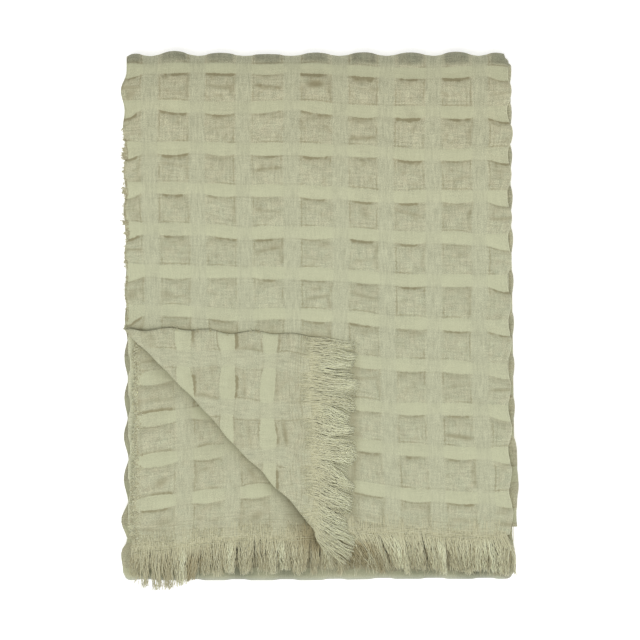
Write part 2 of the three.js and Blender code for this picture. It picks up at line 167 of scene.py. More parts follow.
# Mesh steps on the cloth that shows
FINE_ACROSS = 2.1
FINE_ALONG = 1.35
MIDDLING = 4.5
ACROSS_TURN_STEPS = {1: 6, 3: 6, 5: 10}
ALONG_TURN_STEPS = {1: 8, 3: 8, 5: 26}

# Shares of the cloth's own map
COARSE_MAP = 0.3
RIM_MAP = 120.0
RIM_COLUMNS = 60

# Fringe yarns
YARN_LENGTH = (26.0, 36.0)
LYING_YARNS_LONGER = 1.09
CORNER_YARNS_LONGER = (-0.2, 0.13)
# Painted shade in a gap of the lower fringe
DARK_GAP = (48.0, 6.0, 0.7)
YARN_SIDES = 3
YARNS_PER_MM = 4.3
THREAD_RADIUS = (0.2, 0.32)
STRANDS_PER_MM = 1.2
HIDDEN_YARNS_PER_MM = 0.35
CLUMP_PITCH = 8.5
YARN_ROOT = (1.0, 15.0)
YARN_DROOP = 0.6
YARN_LEAN = 28.0
YARN_LEAN_REACH = 45.0
RIGHT_YARNS_SPLAY = 6.5
RIGHT_SPLAY_REACH = 24.0
FLAP_YARN_LEAN = (math.radians(26), math.radians(34))
FLAP_YARN_LEAN_REACH = (70.0, 6.0)
FLAP_YARNS_END_X = 33.5
FLAP_YARN_LENGTH = (22.0, 42.0)
FLAP_TUFT_PITCH = 23.0
FLAP_TIP_LONGER = 7.0
FLAP_YARN_REST = (1.15, 0.4)
LOWER_YARN_REST = (0.8, 1.1)
ROOT_TONE = 0.52
FLAP_ROOT_TONE = 0.6
# Painted shade on the yarns in the hollows on either side of the crease's end
CREASE_HOLLOW = 1.9
RIGHT_HOLLOW = 1.05
WEFT_PLACES = (-4.0, -2.4, -0.8, 0.8, 2.4, 4.2)

# What differs between the fine yarns that fill a fringe and the strands that lie over them
# The fringe on the turned-back corner is painted lighter than the fringes lower down, which are painted in
# shade
YARN = SimpleNamespace(
    points=12, radius=(0.22, 0.34), sway=6, own_phase=1.0, root_power=2.5, layer=(-0.4, 0.4), pressed=0.6,
    lifted=0, lit_flap_tone=0.78, tone=0.32, core_tone=0.3, varied=0.5,
)
STRAND = SimpleNamespace(
    points=24, radius=(0.38, 0.58), sway=3, own_phase=0.25, root_power=1.3, layer=(0.5, 1.1), pressed=0.4,
    lifted=0.8, lit_flap_tone=0.9, tone=0.5, core_tone=0.4, varied=0.3,
)

# Chances of each cell, crossing and clump of yarn
TABLE = 64
rng = np.random.default_rng(20)
CELL_CHANCE = rng.random((TABLE, TABLE, 14))
CROSSING_SHIFT = rng.normal(0, 1, (TABLE, TABLE, 2))
CLUMP_CHANCE = rng.random((180, 5))


def smooth(x, low, high):
    t = np.clip((x - low) / (high - low), 0, 1)
    return t * t * (3 - 2 * t)


def between(pair, share):
    return pair[0] + (pair[1] - pair[0]) * share


def bell(x, middle, width):
    return np.exp(-(((x - middle) / width) ** 2))


def fading(distance, reach):
    return np.exp(-np.maximum(distance, 0) / reach)


def arch(share):
    return np.sin(math.pi * np.clip(share, 0, 1))


def ripple(x, pitch):
    return np.cos(2 * math.pi * x / pitch)


def uneven_wave(x, fine, coarse):
    return np.sin(x / fine + 2 * np.sin(x / coarse))


# Path of something folded in half twice, as arrays of its runs and turns
def quarter_fold(start, run_lengths, pitch):
    turns = [(pitch / 2, -1), (pitch / 2, 1), (1.5 * pitch, 1)]
    pieces = []
    along, up, heading, travelled = start, pitch / 2, 0.0, 0.0
    for k, length in enumerate(run_lengths):
        pieces.append((travelled, length, along, up, heading, 0, 1.0))
        along += length * math.cos(heading)
        travelled += length
        if k < len(turns):
            radius, sense = turns[k]
            pieces.append((travelled, math.pi * radius, along, up, heading, sense, radius))
            up += 2 * radius * sense * math.cos(heading)
            heading += sense * math.pi
            travelled += math.pi * radius
    names = ("start", "length", "along", "up", "heading", "sense", "radius")
    return {name: np.array(values, float) for name, values in zip(names, zip(*pieces))}


def piece_index(path, distance):
    return np.clip(np.searchsorted(path["start"], distance, side="right") - 1, 0, None)


# Place along the fold, height, and the direction of the cloth's face, at distances along a path
def on_path(path, distance):
    piece = {name: values[piece_index(path, distance)] for name, values in path.items()}
    run = distance - piece["start"]
    turning = piece["sense"] != 0
    heading = piece["heading"]
    angle = heading + np.where(turning, piece["sense"] * run / piece["radius"], 0)
    reach = piece["sense"] * piece["radius"]
    bent = reach * (np.sin(angle) - np.sin(heading))
    along = piece["along"] + np.where(turning, bent, run * np.cos(heading))
    up = piece["up"] + np.where(turning, reach * (np.cos(heading) - np.cos(angle)), 0)
    return along, up, np.where(turning, np.sin(angle), 0), -np.cos(angle)


LEFT_TO_RIGHT = RIGHT_TURN_X - LEFT_TURN_X
FAR_TO_NEAR = FAR_TURN_Y - NEAR_TURN_Y
ACROSS = quarter_fold(
    UNDER_SELVAGE_X,
    [RIGHT_TURN_X - UNDER_SELVAGE_X, LEFT_TO_RIGHT, LEFT_TO_RIGHT, RIGHT_TURN_X - TOP_SELVAGE_X],
    LAYER_PITCH,
)
ALONG = quarter_fold(
    UNDER_END_Y,
    [FAR_TURN_Y - UNDER_END_Y, FAR_TO_NEAR, FAR_TO_NEAR, FAR_TURN_Y - TOP_END_Y],
    STRIP_PITCH,
)
WIDTH = ACROSS["start"][-1] + ACROSS["length"][-1]
LENGTH = ALONG["start"][-1] + ALONG["length"][-1]
TOP_LAYER, TOP_WIDTH = ACROSS["start"][-1], ACROSS["length"][-1]
TOP_STRIP, TOP_LENGTH = ALONG["start"][-1], ALONG["length"][-1]
LEFT_TURN = ACROSS["start"][3]
RIGHT_TURN = ACROSS["start"][-2]
FAR_TURN = ALONG["start"][-2]
NEAR_TURN, NEAR_TURN_LENGTH = ALONG["start"][3], ALONG["length"][3]
NEAR_MIDDLE = NEAR_TURN + NEAR_TURN_LENGTH / 2
TOP_LEVEL = ALONG["up"][-1] + ACROSS["up"][-1]
THIRD_STRIP_TOP = ALONG["up"][2] + ACROSS["up"][-1] + CLOTH_THICKNESS / 2
CURL_LENGTH = math.pi * CREASE_RADIUS
WARP_HALF, WEFT_HALF = WARP_WIDTH / 2, WEFT_WIDTH / 2
FIRST_TOP_COLUMN = (TOP_LAYER - WARP_FIRST) // WARP_PITCH

CREASE_LENGTH = np.linalg.norm(CREASE_END - CREASE_START)
crease_run = (CREASE_END - CREASE_START) / CREASE_LENGTH
CREASE_OUT = np.array([crease_run[1], -crease_run[0]])

# From the drawing's own middle to the row frame: the part's box gives the place
low, high = (np.array(corner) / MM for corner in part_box("cloth"))
HALF_STACK = 1.5 * LAYER_PITCH + CLOTH_THICKNESS / 2
ROW_ORIGIN = np.array([
    high[0] - (RIGHT_TURN_X + HALF_STACK + SHIFT_STARTS[0]),
    low[1] - (NEAR_TURN_Y - STRIP_PITCH / 2 - HALF_STACK),
    low[2] + 1.5 * STRIP_PITCH + HALF_STACK,
])


# How far round one of the turns a place is, as half a wave
def over_turn(path, k, distance):
    return arch((distance - path["start"][k]) / path["length"][k])


def on_top(u, v):
    return (u >= TOP_LAYER) & (v >= TOP_STRIP)


# Distance past the crease, which wavers a little and bends down where it meets the fringe
def past_crease(x, y):
    x, y = x - CREASE_START[0], y - CREASE_START[1]
    run = x * crease_run[0] + y * crease_run[1]
    waver = CREASE_WAVE * (np.sin(run / 9 + 1.5 * np.sin(run / 31)) + 0.6 * np.sin(run / 4.7))
    bend = CREASE_BEND * smooth(run, CREASE_LENGTH - CREASE_BEND_REACH, CREASE_LENGTH + 8)
    waver = waver * smooth(run, 5, 30) + bend
    waver = waver - CREASE_BOW[0] * bell(run, 60, 30) + CREASE_BOW[1] * smooth(run, 80, 150)
    return x * CREASE_OUT[0] + y * CREASE_OUT[1] - waver


def sideways_shift(v):
    index = piece_index(ALONG, v)
    strip = index // 2
    share = np.clip((v - ALONG["start"][index]) / ALONG["length"][index], 0, 1)
    share = np.where(ALONG["sense"][index] == 0, share, 1)
    return between((SHIFT_STARTS[strip], SHIFT_ENDS[strip]), share)


# The top layer is pulled askew, and the layer under it slumps at its open corner
def pulled_along(u, v):
    down = v - TOP_STRIP
    skew = TOP_SKEW * (u - TOP_LAYER) * down / (TOP_WIDTH * TOP_LENGTH)
    still = 1 - np.sin(np.clip(u / UNDER_SAG_REACH, -1, 1) * math.pi / 2)
    sag = -UNDER_SAG * still * np.minimum(down / UNDER_SAG_RISE, 1)
    pull = np.where(u >= TOP_LAYER, skew, np.where(u < ACROSS["length"][0], sag, 0))
    return np.where(v >= TOP_STRIP, pull, 0)


# The near fold under the fringes splays out at its right end, with a round corner
def near_flare(x, v):
    return NEAR_FLARE * smooth(x, 40, RIGHT_TURN_X) * bell(v, NEAR_MIDDLE, NEAR_FLARE_REACH)


def corner_round(x, v):
    ends = 0
    for reach in (x - RIGHT_TURN_X - 2.6, TOP_SELVAGE_X - x):
        ends = ends + 1 - np.sqrt(1 - np.clip(reach / NEAR_CORNER_ROUND + 1, 0, 0.995) ** 2)
    near = NEAR_CORNER_ROUND * ends - between(NEAR_SLUMP, smooth(x, 80, -20))
    return near * bell(v, NEAR_MIDDLE, 9) - FAR_CORNER * over_turn(ALONG, -2, v) * smooth(x, 142, 165)


# Folded edges run in waves: the right fold is drawn in at the weft bands, a lower strip bulges at the left
def edge_wave(x, v):
    down = v - TOP_STRIP
    drawn_in = ripple(LENGTH - v - WEFT_FIRST, WEFT_PITCH) + 0.3 * np.sin(v / 13)
    drawn_in = between(RIGHT_WAVE, fading(down, SELVAGE_WAVE_FADES)) * drawn_in
    right = (between(RIGHT_BULGE, smooth(down, 300, 390)) - drawn_in) * smooth(down, 0, 12)
    level_row = 0.5 - 0.5 * ripple(UNDER_END_Y + v - TOP_END_Y - WEFT_FIRST, WEFT_PITCH)
    bulging = RIGHT_OPEN_BULGE[0] * smooth(v, 95, 60) + RIGHT_OPEN_BULGE[1] * bell(v, 45, 13)
    tucked = (RIGHT_TUCK * level_row * smooth(v, 14, 34) - bulging) * (v < ALONG["length"][0])
    right = (right - tucked) * smooth(x, 138, RIGHT_TURN_X)
    from_near = np.abs(v - NEAR_MIDDLE) - NEAR_TURN_LENGTH / 2
    window = smooth(from_near, 12, 30) * smooth(from_near, 290, 225)
    window = window * ((v > ALONG["start"][2]) & (v < FAR_TURN))
    bulging = 0.5 + 0.5 * ripple(v - LEFT_SCALLOP_FIRST - 3 * smooth(v, 735, 762), LEFT_SCALLOP_PITCH)
    bulging = np.where(v < NEAR_MIDDLE, bulging**0.7, 0) * between(LEFT_SCALLOP, smooth(v, 765, 790))
    left = (LEFT_TUCK - sideways_shift(v) - bulging) * window * smooth(-x, 120, -LEFT_TURN_X)
    return right + left


# The open corner of the under layer spreads to the left
def under_spread(u, v):
    spread = between(UNDER_SPREAD, smooth(v, LENGTH - 130, LENGTH - 5)) * smooth(v - TOP_STRIP, 60, 180)
    return -spread * fading(u, 40) * (v >= TOP_STRIP)


def flat_place(u, v):
    x = RIGHT_TURN_X - (u - TOP_LAYER) + selvage_wave(u, v)
    return x, FAR_TURN_Y - (v - TOP_STRIP) + pulled_along(u, v) + end_wave(u, v)


def flat_past(u, v):
    return np.where(on_top(u, v), past_crease(*flat_place(u, v)), -1e3)


# A point of the cloth, u across its width and v along its length, offset from the middle of its thickness
def cloth_point(u, v, offset):
    x, up, normal_x, normal_up = on_path(ACROSS, u)
    y, level, normal_y, normal_level = on_path(ALONG, v)
    up = up + offset * normal_up
    y = y + up * normal_y + pulled_along(u, v) + end_wave(u, v) + corner_round(x, v)
    moved = x + offset * normal_x + sideways_shift(v) + selvage_wave(u, v)
    x = moved + near_flare(x, v) + edge_wave(x, v) + under_spread(u, v)
    z = level + up * normal_level
    past = flat_past(u, v)
    turned = past > 0
    angle = np.clip(past / CREASE_RADIUS, 0, math.pi)
    lying = np.maximum(past - CURL_LENGTH, 0)
    settled = smooth(lying, 0, FLAP_SETTLES_IN) * (2 * CREASE_RADIUS - FLAP_LIFT)
    move = (CREASE_RADIUS - offset) * np.sin(angle) - lying - past
    droop = FLAP_DROOP * fading(WIDTH - u, 7) * smooth(lying, 10, 40)
    lift = CREASE_RADIUS - (CREASE_RADIUS - offset) * np.cos(angle) - settled - droop
    x = np.where(turned, x + CREASE_OUT[0] * move, x)
    y = np.where(turned, y + CREASE_OUT[1] * move, y)
    z = np.where(turned, TOP_LEVEL + lift, z)
    return np.stack([x, y, z], axis=-1)


# The turned-back corner is pulled out a little at its selvage
def flap_widening(v):
    turned = v - (TOP_STRIP + FAR_TURN_Y - CREASE_START[1])
    return between(FLAP_WIDENING, smooth(turned, 50, 120)) * smooth(turned, 2, 16)


# Selvages run in small waves: out beside the cells, in at the weft bands
def selvage_wave(u, v):
    down = v - TOP_STRIP
    size = between(SELVAGE_WAVE, fading(np.abs(down), SELVAGE_WAVE_FADES))
    size = size * (1 - 0.85 * smooth(v, FAR_TURN - 10, FAR_TURN + 6) * smooth(down, 14, -10))
    bulge = 0.35 + 0.35 * smooth(down, 4, 20) * smooth(down, 170, 110) + 0.6 * bell(down, 27, 13)
    bulge = bulge - 0.65 * ripple(LENGTH - v - WEFT_FIRST, WEFT_PITCH)
    wave = size * (bulge + 0.25 * uneven_wave(v, 7.3, 31))
    at_selvage = fading(WIDTH - u, 9)
    return -wave * (at_selvage + fading(u, 9)) - flap_widening(v) * at_selvage


# Woven ends run a little unevenly
def end_wave(u, v):
    wave = END_WAVE * (0.6 * np.sin(u / 11 + 1.7 * np.sin(u / 37)) + 0.4 * np.sin(u / 4.3))
    return wave * fading(np.abs(LENGTH - v), 10)


def wander(p, q, phase):
    slow = np.sin(p / 47 + 1.3 * np.sin(q / 71 + phase))
    return 0.6 * slow + 0.4 * np.sin(q / 19 + p / 83 + 2 * phase)


# Columns and rows of the waffle, with the place inside each cell from 0 to 1
def cell_place(wu, wv):
    column = np.floor((wu - WARP_FIRST) / WARP_PITCH)
    across = (wu - WARP_FIRST - column * WARP_PITCH - WARP_HALF) / (WARP_PITCH - WARP_WIDTH)
    to_end = LENGTH - wv
    row = np.floor((to_end - WEFT_FIRST) / WEFT_PITCH)
    upper = (row + 1) * WEFT_PITCH + WEFT_FIRST - WEFT_HALF
    return column, row, across, (upper - to_end) / (WEFT_PITCH - WEFT_WIDTH)


def chances(column, row):
    return np.moveaxis(CELL_CHANCE[column.astype(int) % TABLE, row.astype(int) % TABLE], -1, 0)


def off_band(distance, first, pitch):
    return np.abs(np.mod(distance - first + pitch / 2, pitch) - pitch / 2)


def off_warp(wu):
    return off_band(wu, WARP_FIRST, WARP_PITCH)


def off_weft(wv):
    return off_band(LENGTH - wv, WEFT_FIRST, WEFT_PITCH)


# How far the bands run askew: over the top layer, on the turned-back corner and on the layer that it uncovers
def askew_bands(u, v, past):
    left, down = u - TOP_LAYER, v - TOP_STRIP
    lying = smooth(-past, -5, 20) * smooth(u, RIGHT_TURN - 30, RIGHT_TURN)
    at_left = between(COLUMNS_ASIDE_LEFT, smooth(down, 60, 190))
    at_right = between(COLUMNS_ASIDE_RIGHT, smooth(down, 230, 400))
    under = smooth(u, 5, 25) * smooth(u - UNDER_SHOWN_WIDTH, 20, -10) * (v >= TOP_STRIP)
    aside = between((at_left, at_right), smooth(left, 230, 110)) * lying + UNDER_COLUMNS_ASIDE * under
    lower = ROWS_LOWER_RIGHT * np.clip((down - 95) / 255, 0, 1.15) * smooth(left, 141, 73)
    lower = lower + ROWS_LOWER_LEFT * bell(left, 227, 28) * smooth(down, 0, 40)
    spread = (FLAP_ROWS_SPREAD * (LENGTH - v) - 0.9) * smooth(past, 0, 10)
    return aside, spread - lower * lying


# Flat coordinates of the weave: its bands wander a little, and weft bands sag between warp bands
def weave_place(u, v):
    past, down = flat_past(u, v), v - TOP_STRIP
    sideways, lengthways = askew_bands(u, v, past)
    wu = u + 0.8 * wander(v, u, 0.4) + sideways
    wv = v + 0.7 * wander(u, v, 2.1) + lengthways
    column, row, across, _ = cell_place(wu, wv)
    to_end = LENGTH - wv
    in_columns, in_rows = (wu - WARP_FIRST) / WARP_PITCH, (to_end - WEFT_FIRST) / WEFT_PITCH
    warp_band, weft_band = (np.round(count).astype(int) for count in (in_columns, in_rows))
    share_u, share_v = smooth(in_columns - column, 0, 1), smooth(in_rows - row, 0, 1)
    (i, next_i), (j, next_j) = (np.stack([k, k + 1]).astype(int) % TABLE for k in (column, row))
    warp, weft = warp_band % TABLE, weft_band % TABLE
    aside_of, askew_of = CROSSING_SHIFT[:, :, 0], CROSSING_SHIFT[:, :, 1]
    aside = aside_of[warp, j] * (1 - share_v) + aside_of[warp, next_j] * share_v
    askew = askew_of[i, weft] * (1 - share_u) + askew_of[next_i, weft] * share_u
    sagging = between(WEFT_SAG, chances(column, weft_band)[8]) * arch(across) + BAND_WANDER * askew
    below = WEFT_FIRST + weft_band * WEFT_PITCH - to_end
    beyond = u > RIGHT_TURN - 8
    fan = SELVAGE_FAN * smooth(u, WIDTH - 17, WIDTH) * smooth(below, -2, 5) * (past <= 0)
    fan = fan + RIGHT_FAN * smooth(TOP_LAYER + 16 - u, 0, 16) * beyond * smooth(below, -4, 4)
    tilt = ROWS_TILT * smooth((u - TOP_LAYER) / TOP_WIDTH, 0.22, 0.6) * smooth(-past, 0, 12)
    tilt = tilt * (1 - 0.6 * smooth(down, 220, 300)) - 1.2 * fading(np.abs(down), 18) * beyond
    wv = wv - sagging * bell(off_weft(wv), 0, 9) - fan * (1 - smooth(below, 8, 20))
    wv = wv - FIRST_ROW_NARROWS * smooth(-down, 0, 5) + tilt
    return wu + 0.8 * BAND_WANDER * aside * bell(off_warp(wu), 0, 10), wv


# Height of the waffle over the cloth, and how deep in shade each place is
def waffle(u, v):
    wu, wv = weave_place(u, v)
    column, row, across, down = cell_place(wu, wv)
    luck = chances(column, row)
    plain_end = smooth(LENGTH - wv, PLAIN_END - 5, PLAIN_END + 5)
    from_weft = off_weft(wv)
    on_weft = smooth(from_weft, WEFT_HALF + 0.7, WEFT_HALF - 0.7) * plain_end
    on_warp = smooth(off_warp(wu), WARP_HALF + 1, WARP_HALF - 1)
    in_cell = (1 - on_weft) * (1 - on_warp)

    off_middle = 2 * np.clip(across, 0, 1) - 1
    broad = 1 - np.abs(off_middle) ** 4
    bow = between((-0.05, 0.1), luck[10]) * off_middle**2
    tilted = down - 0.25 * (luck[2] - 0.5) * (across - 0.5) + 0.03 - bow
    body = smooth(tilted, 0, 0.1 + 0.35 * luck[1]) * (1 - smooth(down, 0.82, 1.0))
    puff = between(CELL_PUFF, luck[0]) * broad * body
    pocket = between(CELL_POCKET, luck[3]) * broad * bell(tilted, 0.03, 0.06)
    line = down - 0.35 - 0.4 * luck[5] - 0.5 * (luck[6] - 0.5) * (across - 0.5)
    wrinkle = 0.5 * np.maximum(luck[4] - 0.45, 0) * broad * bell(line, 0, 0.07)
    side = across - 0.06 - 0.05 * np.sin(5 * down + 6 * luck[7])
    fold = 0.45 * (luck[7] > 0.75) * bell(side, 0, 0.06) * (down < 0.9)
    cell = puff - pocket - wrinkle - fold

    crown = WEFT_CROWN * (1 - np.minimum(from_weft / WEFT_HALF, 1) ** 2) * (0.4 + 0.6 * broad)
    bands = np.maximum((WEFT_HEIGHT + crown) * on_weft, WARP_HEIGHT * on_warp)
    height = bands + in_cell * cell * (0.35 + 0.65 * plain_end)

    left, right = 0.25 * luck[11] - 0.06, 1.06 - 0.25 * luck[12]
    reach = smooth(across, left, left + 0.12) * smooth(across, right, right - 0.12)
    soft = 0.22 * broad * bell(np.maximum(tilted, 0), 0, 0.3) * plain_end
    shade = np.maximum(np.maximum(soft, 2.4 * wrinkle), 0.8 * fold) + 0.14 * (luck[9] - 0.4) * in_cell
    strength = between(STROKE_STRENGTH, luck[13] ** 1.2) * reach * plain_end
    hump = arch((across - left) / (right - left)) ** 0.6
    depth = between(STROKE_DEPTH, luck[1] ** 2) * (0.3 + 0.7 * hump)
    slope = STROKE_SLOPE * (luck[2] - 0.5) * off_middle
    return height, shade, np.stack([strength, depth + slope, np.zeros_like(depth)], axis=1)


def hollows(x, y, placed):
    deepest = np.zeros_like(x)
    for middle_x, middle_y, half_x, half_y, slope, depth in placed:
        aside = (x - middle_x) / half_x
        above = (y - middle_y - slope * (x - middle_x)) / half_y
        deepest = np.maximum(deepest, depth * np.exp(-(aside**2) - above**2))
    return deepest


# How much of the top layer is pressed flat under the turned-back corner, and the shade beside that
def under_flap(u, v):
    seen_x, y = flat_place(u, v)
    past = past_crease(seen_x, y)
    away = CURL_LENGTH - 2 * past
    x, y = seen_x + CREASE_OUT[0] * away, y + CREASE_OUT[1] * away
    end = TOP_END_Y + TOP_SKEW * (RIGHT_TURN_X - x) / TOP_WIDTH
    flap_edge = TOP_SELVAGE_X - flap_widening(TOP_STRIP + FAR_TURN_Y - y)
    covered = smooth(x - flap_edge, -5, 5) * smooth(y - end, -38, -22)
    lying = on_top(u, v) & (past <= 0)
    uneven = 0.5 + 0.5 * ripple(seen_x - EDGE_SHADE_X, WARP_PITCH)
    edge_dusk = between(EDGE_DUSK, uneven) * fading(flap_edge - x, 1.8 + 1.2 * uneven)
    edge_dusk = edge_dusk * smooth(y - end, -26, -18)
    tip_dusk = TIP_DUSK * bell(end - y, 36, 5) * smooth(x - TOP_SELVAGE_X, -2, 4)
    return np.where(lying, covered, 0), np.where(lying, np.maximum(edge_dusk, tip_dusk), 0)


def off_selvage(distance):
    return 0.35 + 0.65 * smooth(distance, 0, 7)


# What stands up on the face: the top layer's waffle, and the cells that puff out round the folds
def face_swell(u, v):
    height, shade, stroke = waffle(u, v)
    hollow = hollows(*flat_place(u, v), TOP_HOLLOWS)
    past, down = flat_past(u, v), v - TOP_STRIP
    on_layer, on_strip = u >= TOP_LAYER, v >= TOP_STRIP
    covered, dusk = under_flap(u, v)
    wu, wv = weave_place(u, v)
    cell_across = smooth(off_warp(wu), WARP_HALF - 1.5, WARP_HALF + 5)
    cell_along = smooth(off_weft(wv), WEFT_HALF - 2, WEFT_HALF + 5)

    top = (height - HOLLOW_DENT * hollow) * smooth(u, RIGHT_TURN - 1, TOP_LAYER)
    top = top * smooth(v, FAR_TURN + 2, TOP_STRIP - 10) * smooth(-past, 2, 9)
    top = top * off_selvage(WIDTH - u) * (1 - 0.8 * covered)
    far_round = over_turn(ALONG, -2, v)
    rippled = 0.5 - 0.5 * ripple(wu - WARP_FIRST, WARP_PITCH)
    from_right = np.clip(cell_place(wu, wv)[0] - FIRST_TOP_COLUMN, 0, len(FAR_FOLD_PUFFS) - 1).astype(int)
    bulge = FAR_FOLD_PUFFS[from_right] * rippled**0.8 - FOLD_DIP - CORNER_TUCK * fading(WIDTH - u, 7)
    fold_cells = bulge * far_round * on_layer * ~on_strip
    swell = np.where(past > 0, 0, np.where(on_strip, top, np.minimum(top, 0.9) + fold_cells))
    for puff, rounded in (
        (LEFT_EDGE_PUFF * cell_along, over_turn(ACROSS, 3, u)),
        (RIGHT_EDGE_PUFF * cell_along, over_turn(ACROSS, 5, u)),
        (RIGHT_EDGE_PUFF * cell_across, over_turn(ALONG, 3, v) * on_layer),
    ):
        swell = np.where(rounded > 1e-6, np.maximum(swell, puff * rounded), swell)

    share = (v - NEAR_TURN) / NEAR_TURN_LENGTH
    square = smooth(off_warp(wu), WARP_HALF + 1.5, WARP_HALF + 4.5)
    far_dim = (FAR_SHADE[0] + FAR_SHADE[1] * square * cell_along) * smooth(far_round, 0.2, 0.45) * ~on_strip
    far_dim = np.maximum(far_dim, 0.15 * smooth(down, 22, 6) + 0.08 * smooth(down, 130, 30))
    patchy = 0.5 + 0.5 * uneven_wave(u, 11, 27)
    bare = bell(u - TOP_LAYER, 145, 32) + 0.5 * bell(u - TOP_LAYER, 72, 10)
    near_dim = NEAR_SHADE * smooth(share, -1.2, 0.2) * (share < 1.2) * (1 - 0.4 * smooth(share, 0.05, 0.3))
    near_dim = near_dim * (1 - 0.85 * smooth(u, WIDTH - 24, WIDTH - 8))
    near_dim = near_dim * between((0.75, 1.3), patchy) * (1 - 0.4 * bare)
    dim = np.maximum(far_dim, near_dim) * smooth(u, RIGHT_TURN + 2, RIGHT_TURN + 5)
    uneven = 0.75 + 0.25 * uneven_wave(v, 6.1, 17)
    right_dim = smooth(u, RIGHT_TURN - 6, RIGHT_TURN) * smooth(TOP_LAYER + 16, u, u + 6)
    right_dim = RIGHT_SHADE * uneven * right_dim * (v < FAR_TURN)
    # Painted highlight: on the top strip the left fold's rim is paler; below that strip the left fold gets
    # painted shade
    left_dim = np.where(on_strip, -RIM_HIGHLIGHTS[0], LEFT_SHADE[0] * uneven) * smooth(np.abs(u - LEFT_TURN), 22, 8)
    left_dim = left_dim + LEFT_SHADE[1] * uneven * smooth(u, WIDTH - 8, WIDTH - 4) * (v < NEAR_TURN)
    left_dim = left_dim * np.where(on_strip, 1, smooth(np.abs(v - NEAR_MIDDLE), 30, 65))
    # Painted highlight along the right fold's rim on the top strip
    rim_highlight = -RIM_HIGHLIGHTS[1] * smooth(over_turn(ACROSS, -2, u), 0.6, 1) * on_strip
    dim = np.maximum(dim, right_dim) + left_dim + rim_highlight

    below_fringe = smooth(NEAR_TURN - v, 46, 30) * (v < NEAR_TURN) * on_layer
    below_fringe = below_fringe * smooth(WIDTH - u, 10, 34) * between((0.6, 1.5), patchy) * (1 - 0.75 * bare)
    # Painted shade in the hollows, on the cloth under the turned-back corner's fringe and below the fringes
    shade = np.maximum(np.maximum(shade, hollow), COVERED_SHADE * covered)
    shade = np.where(on_strip, shade, FRINGE_SHADE[0] * below_fringe)
    stroke = stroke * (between((0.5, 1.15), smooth(down, 110, 65)) * on_strip)[:, None]
    # Painted bluish reflection on the near fold's rim, carried as broad shade below zero
    near_rim_reflection = smooth(share, 0.15, 0.4) * (share < 1.2) * on_layer
    stroke[:, 2] = np.maximum(dusk, FRINGE_SHADE[1] * below_fringe) - near_rim_reflection
    return swell, shade, dim, stroke


# What stands up on the back: the turned-back corner, and the layer that it uncovers
def back_swell(u, v):
    height, shade, stroke = waffle(u, v)
    x, y, _ = cloth_point(u, v, np.zeros_like(u)).T
    beside = np.maximum(past_crease(x, y) - CREASE_RADIUS, 0)
    on_strip = v >= TOP_STRIP
    lower = (u < UNDER_SHOWN_WIDTH) & on_strip
    flap = smooth(flat_past(u, v) - CURL_LENGTH, 1, 8) * off_selvage(WIDTH - u)
    under = smooth(beside, 0, 8) * off_selvage(u) * smooth(UNDER_SHOWN_WIDTH - u, 0, 6)
    shown = np.where(u >= TOP_LAYER, flap, np.where(u < UNDER_SHOWN_WIDTH, under, 0))
    shown = shown * smooth(v - LENGTH + SHOWN_LENGTH, 0, 6)
    # Hollows on the uncovered layer are dented and painted with shade
    hollow = hollows(x, y, UNDER_HOLLOWS) * lower
    height, shade = height - HOLLOW_DENT * hollow, np.maximum(shade, hollow)
    luck = chances(*cell_place(*weave_place(u, v))[:2])
    fainter = between((0.3, 1.1), luck[7]) * between((0.55, 1), smooth(u, 22, 40))
    stroke = stroke * np.where(lower, 1.0, 0.75 * on_strip)[:, None]
    stroke[:, 0] *= np.where(lower, fainter * np.where(luck[5] < 0.6, -1, 1), 1)
    uneven = 0.7 + 0.3 * uneven_wave(x, 8, 21)
    dusk = CREASE_DUSK[0] + CREASE_DUSK[1] * smooth(x, -110, -70) + CREASE_DUSK[2] * smooth(x, -35, -8)
    stroke[:, 2] = dusk * fading(beside, CREASE_DUSK_REACH * uneven) * lower
    dim = between(CREASE_DIM, smooth(x, -60, -10)) * fading(beside, CREASE_DIM_REACH * uneven) * lower
    return -height * shown, shade * on_strip, dim, stroke


# Stations of a span at three finenesses: plain, middling and fine
def spans_of(path, cuts, steps, fine):
    spans = []
    for k, (start, length) in enumerate(zip(path["start"], path["length"])):
        if path["sense"][k]:
            turn = np.linspace(start, start + length, steps[k] + 1)
            spans.append((turn, turn, turn))
            continue
        ends = [start, *[c for c in cuts if start < c < start + length], start + length]
        for a, b in zip(ends, ends[1:]):
            spans.append(tuple(
                np.linspace(a, b, max(1, round((b - a) / step)) + 1) for step in (b - a, MIDDLING, fine)
            ))
    return spans


across_spans = spans_of(ACROSS, [UNDER_SHOWN_WIDTH, WIDTH - UNDER_SHOWN_WIDTH], ACROSS_TURN_STEPS, FINE_ACROSS)
along_spans = spans_of(ALONG, [NEAR_TURN - NEAR_SHOWN, LENGTH - SHOWN_LENGTH], ALONG_TURN_STEPS, FINE_ALONG)
LEFT_TURN_SPAN, RIGHT_TURN_SPAN, TOP_RIGHT_SPAN, TOP_LEFT_SPAN = 4, 6, 7, 8
SECOND_SPAN, NEAR_PART_SPAN, NEAR_TURN_SPAN, THIRD_SPAN, FAR_TURN_SPAN, UPPER_SPAN, LOWER_SPAN = range(2, 9)
RUN_SPANS = (0, SECOND_SPAN, NEAR_PART_SPAN, THIRD_SPAN, UPPER_SPAN, LOWER_SPAN)
PLAIN, MEDIUM, FINE = 0, 1, 2


